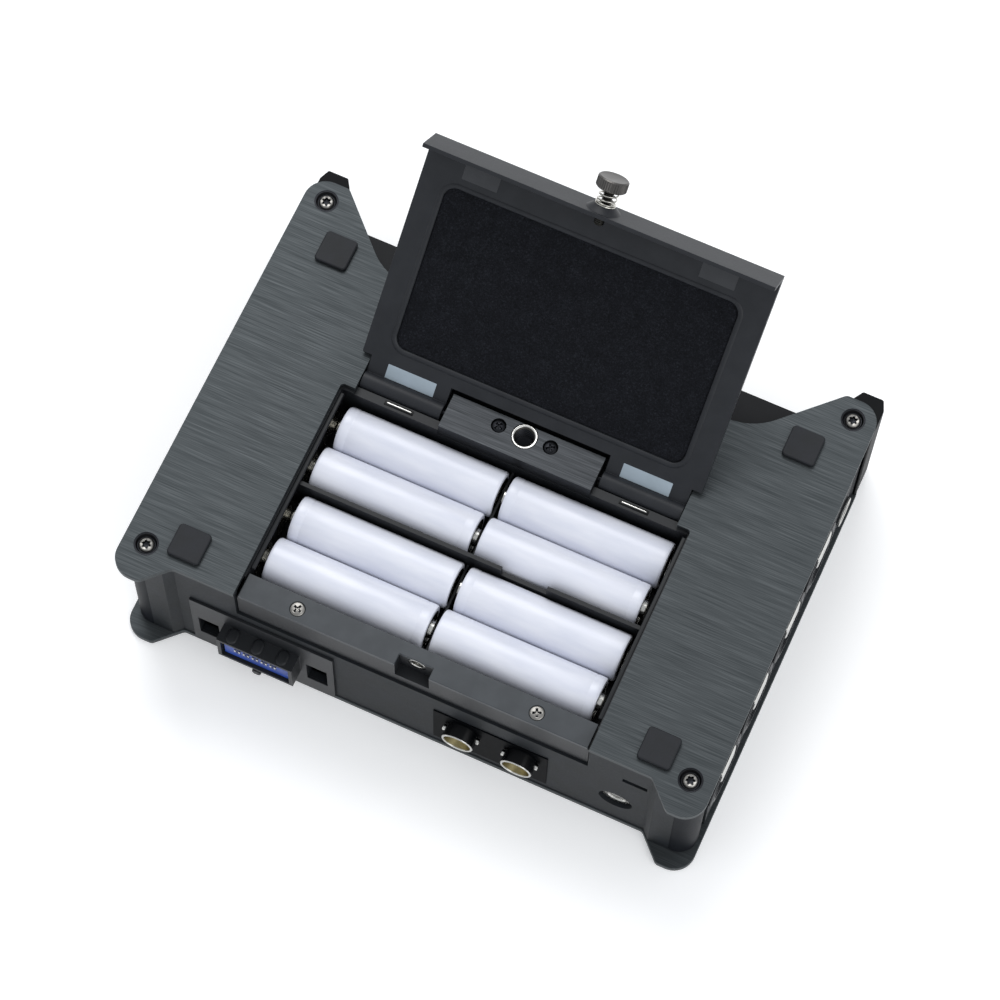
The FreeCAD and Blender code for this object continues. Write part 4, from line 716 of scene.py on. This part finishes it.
def dish(outer, inner, drop):
    """The stepped ring that lines the countersink round a screw, with its rim at z = 0."""
    return sleeve_of([
        (inner, -drop - 0.25), (inner, -drop), (inner + 0.2, -drop + 0.02), (outer - 0.55, -0.35),
        (outer - 0.45, -0.12), (outer - 0.15, -0.1), (outer - 0.08, 0.03), (outer, 0.03), (outer, -0.2),
        (inner, -drop - 0.25),
    ], 72)


UP, DOWN = (0, 0, 1), (0, 0, -1)
COVER_HEAD, SMALL_HEAD, HEAD_SINK = 2.4, 2.2, 1.3
high = box_mm("cover_screws")[1]
screw_x, screw_y = high.x - COVER_HEAD, high.y - COVER_HEAD
heads, cups = [], []
for number, (sx, sy) in enumerate(((-1, -1), (1, -1), (1, 1), (-1, 1))):
    x, y = sx * screw_x, sy * screw_y
    up = facing((x, y, face_level - HEAD_SINK), UP, spin=17 * number)
    down = facing((x, y, HEAD_SINK), DOWN, spin=23 * number)
    heads += [moved(screw_head(COVER_HEAD - 0.1, 1.15, lobes, 0.75), place) for place in (up, down)]
    cups += [
        moved(dish(3.5, 2.35, 1.0), facing((x, y, face_level), UP)),
        moved(dish(3.5, 2.35, 1.0), facing((x, y, 0), DOWN)),
    ]
corner_screws = make("corner_screws", merged(*heads), [screw_steel, black_steel_and_shade], "case")
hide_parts("cover_screws")
make("screw_cups", merged(*cups), [black_steel_and_shade], "case")

low, high = box_mm("small_screws")
strip_y, mount_y = low.y + SMALL_HEAD, high.y - SMALL_HEAD
strip_x, mount_x = high.x - SMALL_HEAD, 8.0
strip_level = box_mm("latch_strip")[1].z - 0.3
bright, black = [], []
for side in (-1, 1):
    at = facing((side * strip_x, strip_y, strip_level), UP, 24 * side)
    bright.append(moved(screw_head(2.15, 0.55, cross, 0.45), at))
    at = facing((side * mount_x, mount_y, face_level - 1.0), UP, 31 * side)
    black.append(moved(screw_head(2.1, 0.7, cross, 0.5), at))
strip_screws = make("strip_screws", merged(*bright), [screw_steel, black_steel_and_shade], "case")
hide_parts("small_screws")
make("mount_screws", merged(*black), [black_steel_and_shade], "case")
print("12 screws")

# %% [markdown]
# ## The door's lining and labels
# A sheet of pressed felt is glued into a shallow recess inside the door. Its edge is soft, and its
# fibres make the top uneven, so the sheet is a grid whose points are lifted a little by noise. The
# recess has a raised bead round it, a stack of rounded outlines. Two pale and two dark labels are
# film some 0.1 mm thick, and all of them are blank.

# %% Door lining, bead and labels
inner_face = face_level - 2.2
lining_half, lining_rear, lining_front, lining_corner = 44.3, -50.2, 0.6, 3.6
lining_middle = (lining_rear + lining_front) / 2
lining_depth = lining_front - lining_rear


def felt_sheet(step=1.0):
    """A rounded rectangle of felt facing -Z, some 0.65 mm thick, with a soft edge and no underside."""
    shape = bmesh.new()
    columns = int(2 * lining_half / step)
    rows = int(lining_depth / step)

    def inside(u, v):
        """Squeezes a point of the unit square into the rounded outline."""
        x, y = (2 * u - 1) * lining_half, lining_rear + v * lining_depth
        corner_x = lining_half - lining_corner
        if abs(x) > corner_x:
            t = (abs(x) - corner_x) / lining_corner
            reach = lining_depth / 2 - lining_corner * (1 - math.sqrt(max(1 - t * t, 0)))
            y = lining_middle + (y - lining_middle) * reach / (lining_depth / 2)
        return x, y

    grid = {}
    for i in range(columns + 1):
        for j in range(rows + 1):
            x, y = inside(i / columns, j / rows)
            edge = min(i, columns - i, j, rows - j) * step
            soft = 0.3 * max(0.0, 1 - edge / 1.2) ** 2
            rough = 0.10 * noise.fractal(Vector((x / 1.7, y / 1.7, 0)), 0.8, 2.2, 4)
            grid[i, j] = shape.verts.new((x, y, inner_face + 0.42 + soft + rough * (edge > 0)))
    for i in range(columns):
        for j in range(rows):
            shape.faces.new((grid[i, j], grid[i, j + 1], grid[i + 1, j + 1], grid[i + 1, j]))
    rim = [edge for edge in shape.edges if edge.is_boundary]
    wall = bmesh.ops.extrude_edge_only(shape, edges=rim)["geom"]
    for vert in (item for item in wall if isinstance(item, bmesh.types.BMVert)):
        vert.co.z = inner_face + 1.08
    return shape


lining = make("door_felt", felt_sheet(), [felt], "door", door_open, sharp=60)
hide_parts("door_lining")

RECESS_PLAY = 0.3
BEAD = [(-0.28, 1.0), (-0.28, 0.15), (0.0, -0.12), (0.35, -0.24), (0.75, -0.24), (1.05, -0.14), (1.25, 0.05)]
rings = []
for out, rise in BEAD:
    grown = RECESS_PLAY + out
    size = (2 * (lining_half + grown), lining_depth + 2 * grown, lining_corner + grown)
    rings.append([(x, y + lining_middle, z) for x, y, z in rounded(*size, inner_face + rise, 12)])
make("recess_bead", skin(rings, None, False, False), [door_coat], "door", door_open)

pale, dark = [], []
for side in (-1, 1):
    at = facing((side * 36.4, 8.35, inner_face + 0.02), DOWN)
    pale.append(moved(pillow(15.0, 4.3, 0.1, 0.15, 0.04), at))
    at = facing((side * 35.6, -55.9, inner_face + 0.02), DOWN)
    dark.append(moved(pillow(10.6, 4.8, 0.08, 0.15, 0.03), at))
make("wing_labels", merged(*pale), [label], "door", door_open)
make("flange_labels", merged(*dark), [shade_label], "door", door_open)
print("lining, bead and 4 labels")

# %% [markdown]
# ## The thumbscrew and its spring
# A captive screw with a straight-knurled head holds the door shut. Its head is counterbored, so the
# spring can go into it as the screw is pushed in. The knurls are cut into the outline of each ring,
# and the thread is a stack of rings, close enough at a 0.5 mm pitch. The spring is a wound wire
# between a washer and the head.

# %% Thumbscrew
turn_joint = joints["thumbscrew_turn"]
axis_point = Vector(turn_joint["pos_m"]) * 1000
outward = -Vector(turn_joint["axis"])
screw_place = facing(axis_point, outward)
KNURLS, POINTS, THREAD_PITCH, WASHER = 40, 320, 0.5, 0.3


def reach(node):
    """How far a CAD node goes inward and outward along the screw's axis, in millimetres."""
    thing = nodes[node]
    spots = [(thing.matrix_world @ vert.co * 1000 - axis_point).dot(outward) for vert in thing.data.vertices]
    return min(spots), max(spots)


def knurled(radius, level, depth):
    """A ring with V-shaped knurls."""
    return star(lambda t: radius - depth * (0.5 + 0.5 * math.cos(KNURLS * t)) ** 0.8, level, POINTS)


spring_foot, head_foot = reach("thumbscrew_spring")
tip, head_top = reach("thumbscrew")
tip += 0.03


head = skin([
    circle(1.4, head_foot + 1.6, POINTS), circle(3.15, head_foot + 1.6, POINTS),
    circle(3.15, head_foot + 0.1, POINTS), circle(3.3, head_foot, POINTS), circle(4.0, head_foot, POINTS),
    knurled(4.4, head_foot + 0.35, 0.05), knurled(4.45, head_foot + 0.45, 0.24),
    knurled(4.45, head_top - 0.45, 0.24), knurled(4.4, head_top - 0.3, 0.05),
    circle(4.05, head_top - 0.03, POINTS), circle(3.9, head_top, POINTS),
    circle(3.7, head_top - 0.05, POINTS), circle(0.6, head_top - 0.07, POINTS),
])
threads = [(0, tip), (1.1, tip), (1.3, tip + 0.25)]
level = tip + 0.25
while level < head_foot + 1.2:
    threads += [(1.46, level + 0.18), (1.46, level + 0.25), (1.2, level + 0.43), (1.2, level + THREAD_PITCH)]
    level += THREAD_PITCH
threads += [(1.46, head_foot + 1.8), (0, head_foot + 1.8)]
thumb = make("knurled_screw", head, [turned_steel], "thumbscrew", screw_place, sharp=25)
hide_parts("thumbscrew")
make("screw_thread", turned(threads, 40), [thread_steel], "thumbscrew", screw_place)
washer = turned([(1.65, 0), (2.95, 0), (3.0, 0.08), (2.95, 0.28), (1.7, 0.3), (1.65, 0.05)], 48)
turns, wire = 3.7, 0.25
pitch = (head_foot - spring_foot - WASHER - 2 * wire) / (turns - 1.0)
coil = helix_tube(turns, 2.6, pitch, wire, ring_count=12, steps=40)
moved(coil, Matrix.Translation((0, 0, spring_foot + WASHER)))
moved(washer, Matrix.Translation((0, 0, spring_foot)))
spring = make("thumbscrew_coil", merged(coil, washer), [spring_steel], "door", screw_place)
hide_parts("thumbscrew_spring")
print("thumbscrew with", KNURLS, "knurls and", turns, "turns of spring")

# %% [markdown]
# ## Tripod bush, ledge slots and bay lip
# The tripod bush is a pressed-in steel insert with a 1/4-20 thread, 1.27 mm from turn to turn. Its
# profile goes up the thread, over a rounded rim and down the outside. The ledge beside it has two
# slots with a steel bar in each; each slot is a thin glossy black sheet, painted shade for its opening.
# A moulded lip runs along both ends of the bay, just under the door.

# %% Bush, slots and lip
TRIPOD_PITCH, CREST, ROOT, BUSH_OUTER = 1.27, 2.6, 3.1, 3.74
BUSH_RIM, THREAD, DEEP_SHADE = range(3)
low, high = box_mm("tripod_bush")
middle = (low + high) / 2
depth = high.z - low.z
# The bore's floor and one flank of each thread turn take the dark steel, painted shade deep in the bore.
profile, bands = [(0, 0.85), (CREST, 0.85)], [DEEP_SHADE]
level = 0.9
while level < depth - 1.9:
    profile += [(ROOT, level + 0.3), (ROOT, level + 0.45)]
    profile += [(CREST, level + 1.1), (CREST, level + TRIPOD_PITCH)]
    bands += [DEEP_SHADE, THREAD, THREAD, THREAD]
    level += TRIPOD_PITCH
profile += [
    (2.65, depth - 0.7), (3.0, depth - 0.12), (3.25, depth), (3.55, depth), (BUSH_OUTER, depth - 0.2),
    (BUSH_OUTER, 0), (0, 0),
]
bands += [THREAD, THREAD] + [BUSH_RIM] * 6
bush = make(
    "threaded_bush", turned(profile, 72, bands), [nickel, thread_steel, black_steel_and_shade], "case",
    facing((middle.x, middle.y, low.z), UP),
)
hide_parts("tripod_bush")

ledge = face_level - 2.6
# Each slot is a thin glossy black sheet, painted shade where the slot opens.
slot_shades, bars = [], []
for side in (-1, 1):
    slot_shades.append(moved(pillow(9.0, 1.5, 0.05, 0.2, 0.02), facing((side * 36.3, 9.1, ledge), UP)))
    bars.append(moved(pillow(7.6, 0.42, 0.16, 0.15, 0.12), facing((side * 36.3, 9.25, ledge + 0.02), UP)))
make("ledge_slot_shades", merged(*slot_shades), [gloss_abs_and_shade], "case")
make("ledge_bars", merged(*bars), [nickel], "case")

lip_x = box_mm("battery_contacts")[1].x - 0.62
lips = []
for side in (-1, 1):
    lip = pillow(1.25, 58.6, 1.1, 0.3, 0.25)
    lips.append(moved(lip, facing((side * lip_x, -22.6, face_level - 3.5), UP)))
make("bay_lip", merged(*lips), [moulded_abs], "case")
print("bush", round(depth, 2), "mm deep")

# %% [markdown]
# ## The option port
# The port's hood has soft grip lumps, its mouth holds a blue moulded connector, and five pairs of
# pins stand at the connector's upper edge, each over a key slot. Each slot is a thin dark blue sheet
# of painted shade. The pins are bright plated metal, so they take the nickel.

# %% Option port
REAR = (0, -1, 0)
PAIRS, PAIR_PITCH, PIN_STEP = 5, 2.8, 0.672
low, high = box_mm("option_port_insert")
middle = (low + high) / 2
pins, key_slot_shades, lumps = [], [], []
for pair in range(PAIRS):
    x = middle.x - 5.6 + PAIR_PITCH * pair
    for step in (-PIN_STEP, PIN_STEP):
        at = facing((x + step, low.y + 0.05, middle.z + 1.9), REAR)
        pins.append(moved(pillow(0.62, 0.95, 0.8, 0.12, 0.12), at))
    # Each key slot is a thin dark blue sheet, painted shade.
    key_slot_shades.append(moved(pillow(1.5, 2.6, 0.05, 0.1, 0.02), facing((x, low.y, middle.z + 0.1), REAR)))
make("port_pins", merged(*pins), [nickel], "case")
make("port_key_slot_shades", merged(*key_slot_shades), [blue_shadow], "case")
hood_front, hood_back = box_mm("option_port")[0].y, -62.0
hood_top = middle.z + 6.3
for x in (-7.8, 0, 7.8):
    at = facing((middle.x + x, (hood_front + hood_back) / 2, hood_top - 0.2), UP)
    lumps.append(moved(pillow(3.6, 5.0, 0.75, 1.7, 0.7), at))
make("hood_ribs", merged(*lumps), [moulded_abs], "case")
print("option port with", len(pins), "pins")

# %% [markdown]
# ## Bayonet jacks
# A bayonet jack is a turned barrel with two lugs that the plug's ring locks over. These barrels are
# black, with a bright front edge, a brass bore and a pin in a white insulator. One profile with a
# material for each band gives the barrel. Its lugs are short pins that stand out from its sides.

# %% Bayonet jacks
JACK_REACH, JACK_LEVEL = 12.7, 21.0
SHELL, FRONT_RIM, BORE, INSULATOR = range(4)
BARREL = [
    (0, 0), (4.83, 0), (4.83, 12.2), (4.75, 12.45), (4.62, 12.66), (4.3, 12.7), (4.12, 12.6), (4.05, 12.3),
    (4.05, 9.0), (3.9, 8.8), (3.9, 2.3), (1.6, 2.3), (1.6, 8.5), (1.3, 8.8), (0.55, 8.8), (0.55, 9.9),
    (0.4, 10.2), (0, 10.3),
]
BANDS = [SHELL] * 3 + [FRONT_RIM] * 4 + [BORE] * 4 + [INSULATOR] * 3 + [BORE] * 3
foot_y = box_mm("sync_jacks")[0].y + JACK_REACH
lug_y = box_mm("sync_panel")[0].y - 1.05
barrels, lugs = [], []
for x in (16.2, 34.3):
    barrels.append(moved(turned(BARREL, 64, BANDS), facing((x, foot_y, JACK_LEVEL), REAR)))
    for side in (-1, 1):
        lug = turned([(0.88, 0), (0.9, 0.75), (0.75, 0.9), (0, 0.95)], 24)
        lugs.append(moved(lug, facing((x + side * 4.7, lug_y, JACK_LEVEL), (side, 0, 0))))
jack = make("bayonet_jacks", merged(*barrels), [gloss_abs_and_shade, nickel, brass, white_abs], "case")
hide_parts("sync_jacks")
make("bayonet_lugs", merged(*lugs), [nickel], "case")
print(len(barrels), "bayonet jacks")

# %% [markdown]
# ## Power inlet, data socket and side inputs
# Each of the eight inputs takes two kinds of plug, so it has a round socket with a hole in the
# middle and three contacts round it, inside a dark ring. A sprung latch tab sits over each. The
# power inlet has a centre pin, and the data socket a tongue.

# %% Sockets
back = box_mm("power_inlet")[1].y - 2.0
middle = middle_mm("power_inlet")
at = facing((middle.x, back, middle.z), REAR)
pin = turned([(1.05, 0), (1.05, 7.2), (0.85, 7.5), (0, 7.55)], 32)
spring_ring = turned([(2.9, 9.5), (4.6, 9.5), (4.6, 9.9), (3.1, 9.9), (2.9, 9.6)], 48)
make("inlet_pin", merged(moved(pin, at), moved(spring_ring, at)), [nickel], "case")

back = box_mm("data_socket")[1].y - 0.6
middle = middle_mm("data_socket")
tongue = moved(pillow(4.6, 0.55, 4.0, 0.15, 0.1), facing((middle.x, back, middle.z - 0.15), REAR))
make("data_tongue", tongue, [gloss_abs_and_shade], "case")

INPUT_X, INPUT_LEVEL, INPUT_PITCH, FIRST_INPUT = 72.05, 26.4, 23.3, -43.6
FACE = [
    (3.25, 0.3), (3.25, 10.6), (3.6, 11.0), (7.2, 11.0), (7.7, 10.7), (8.2, 10.2), (8.2, 0.3), (3.25, 0.3),
]
RING = [(8.4, 14.6), (8.45, 16.3), (8.65, 16.75), (9.3, 16.75), (9.5, 16.5), (9.5, 16.3)]
PIN_HOLE = [(1.15, 0), (1.15, 0.16), (0.95, 0.2), (0.9, 0.02), (0, 0.02)]


def latch_tab():
    """A pressed tab with hollow long sides, standing on z = 0."""
    rings = []
    for inset, level in ((0, 0), (0, 0.7), (0.15, 0.95), (0.4, 1.1)):
        ring = rounded(9.4 - 2 * inset, 5.8 - 2 * inset, 0.5, level)
        rings.append([(x, y * (1 + 0.5 * (abs(x) / 5.0) ** 2), z) for x, y, z in ring])
    return skin(rings)


faces, holes, rings, tabs = [], [], [], []
for side in (-1, 1):
    for index in range(4):
        y = FIRST_INPUT + INPUT_PITCH * index
        outside = (side, 0, 0)
        at = facing((side * INPUT_X, y, INPUT_LEVEL), outside)
        faces.append(moved(sleeve_of(FACE, 64), at))
        faces.append(moved(turned([(3.3, 0.4), (3.3, 1.0), (0, 1.0)], 32), at))
        for turn in (90, 210, 330):
            t = math.radians(turn)
            place = at @ Matrix.Translation((5.4 * math.cos(t), 5.4 * math.sin(t), 10.9))
            holes.append(moved(turned(PIN_HOLE, 24), place))
        rings.append(moved(sleeve_of(RING, 72), at))
        tabs.append(moved(latch_tab(), facing((side * 87.9, y, 33.2), outside)))
make("input_faces", merged(*faces), [moulded_abs], "case")
make("input_holes", merged(*holes), [brass], "case")
make("input_rings", merged(*rings), [black_steel_and_shade], "case")
make("input_tabs", merged(*tabs), [nickel], "case")

collar = sleeve_of([(3.25, 0.0), (3.25, 1.2), (3.5, 1.35), (4.4, 1.35), (4.55, 1.2), (4.55, 0.0)], 64)
make("phones_collar", moved(collar, facing((87.6, 46.5, 16.0), (1, 0, 0))), [nickel], "case")
print(len(tabs), "inputs")

# %% [markdown]
# ## Knobs and keys
# The trim knobs are rubbery, fluted and marked with a pale line, so that a finger can find and turn
# them without looking. The menu dial is knurled aluminium with a dished face. Fluting is a wave in
# each ring, as on the thumbscrew. The keys' symbols are the usual ones for a transport.

# %% Knobs
KNOB_FOOT, RING_POINTS = 55.0, 144


def make_knob(name, radius, flutes, depth, tree, mark=True):
    """A fluted knob on its shaft, facing +Y, with a pale line if it has a mark."""
    middle = middle_mm(name)
    length = box_mm(name)[1].y - KNOB_FOOT
    at = facing((middle.x, KNOB_FOOT, middle.z), (0, 1, 0))

    def plain(r, level):
        return circle(r, level, RING_POINTS)

    def fluted(r, level, cut=depth):
        return star(lambda t: r - cut * (0.5 - 0.5 * math.cos(flutes * t)) ** 2, level, RING_POINTS)

    knob = make(f"{name}_cap", skin([
        plain(1.45, -7.3), plain(1.45, 0), fluted(radius - 0.15, 0), fluted(radius, 0.2),
        fluted(0.95 * radius, length - 0.45), fluted(0.93 * radius, length - 0.15, 0.6 * depth),
        plain(0.86 * radius, length), plain(0.7 * radius, length), plain(0.62 * radius, length - 0.25),
    ]), [tree], name, at)
    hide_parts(name)
    if mark:
        line = pillow(0.5, 0.42 * radius, 0.2, 0.1, 0.05)
        place = at @ Matrix.Translation((0, 0.62 * radius, length - 0.12))
        make(f"{name}_mark", moved(line, place), [mark_paint], name)


for number in range(1, 9):
    make_knob(f"trim_knob_{number}", 4.4, 16, 0.28, soft_touch)
make_knob("phones_knob", 3.9, 14, 0.25, soft_touch)
make_knob("menu_dial", 4.4, 36, 0.12, black_dial, mark=False)


def symbol(points, at):
    """A flat printed sign 0.06 mm thick from a list of points."""
    return moved(skin([[(x, y, h) for x, y in points] for h in (0, 0.06)]), at)


def arrow(size, shift=0.0, flip=1):
    """A triangle that points right, or left with flip -1."""
    tail, nose = flip * (shift - 0.45 * size), flip * (shift + 0.45 * size)
    return [(tail, -0.5 * size), (nose, 0), (tail, 0.5 * size)]


DOT = [(x, y) for x, y, z in circle(0.85, 0, 24)]
SQUARE = [(-0.75, -0.75), (0.75, -0.75), (0.75, 0.75), (-0.75, 0.75)]
signs = {
    "play_key": [arrow(1.8)],
    "stop_key": [SQUARE],
    "record_key": [DOT],
    "forward_key": [arrow(1.5, -0.65), arrow(1.5, 0.65)],
    "back_key": [arrow(1.5, -0.65, -1), arrow(1.5, 0.65, -1)],
}
for key, drawings in signs.items():
    middle = middle_mm(key)
    front = box_mm(key)[1].y - 0.01
    place = Matrix.Translation((middle.x, front, middle.z)) @ Matrix.Rotation(math.radians(-90), 4, "X")
    marks = merged(*[symbol(points, place) for points in drawings])
    make(f"{key}_sign", marks, [record_paint if key == "record_key" else mark_paint], key)
print("10 knobs,", len(signs), "key signs")
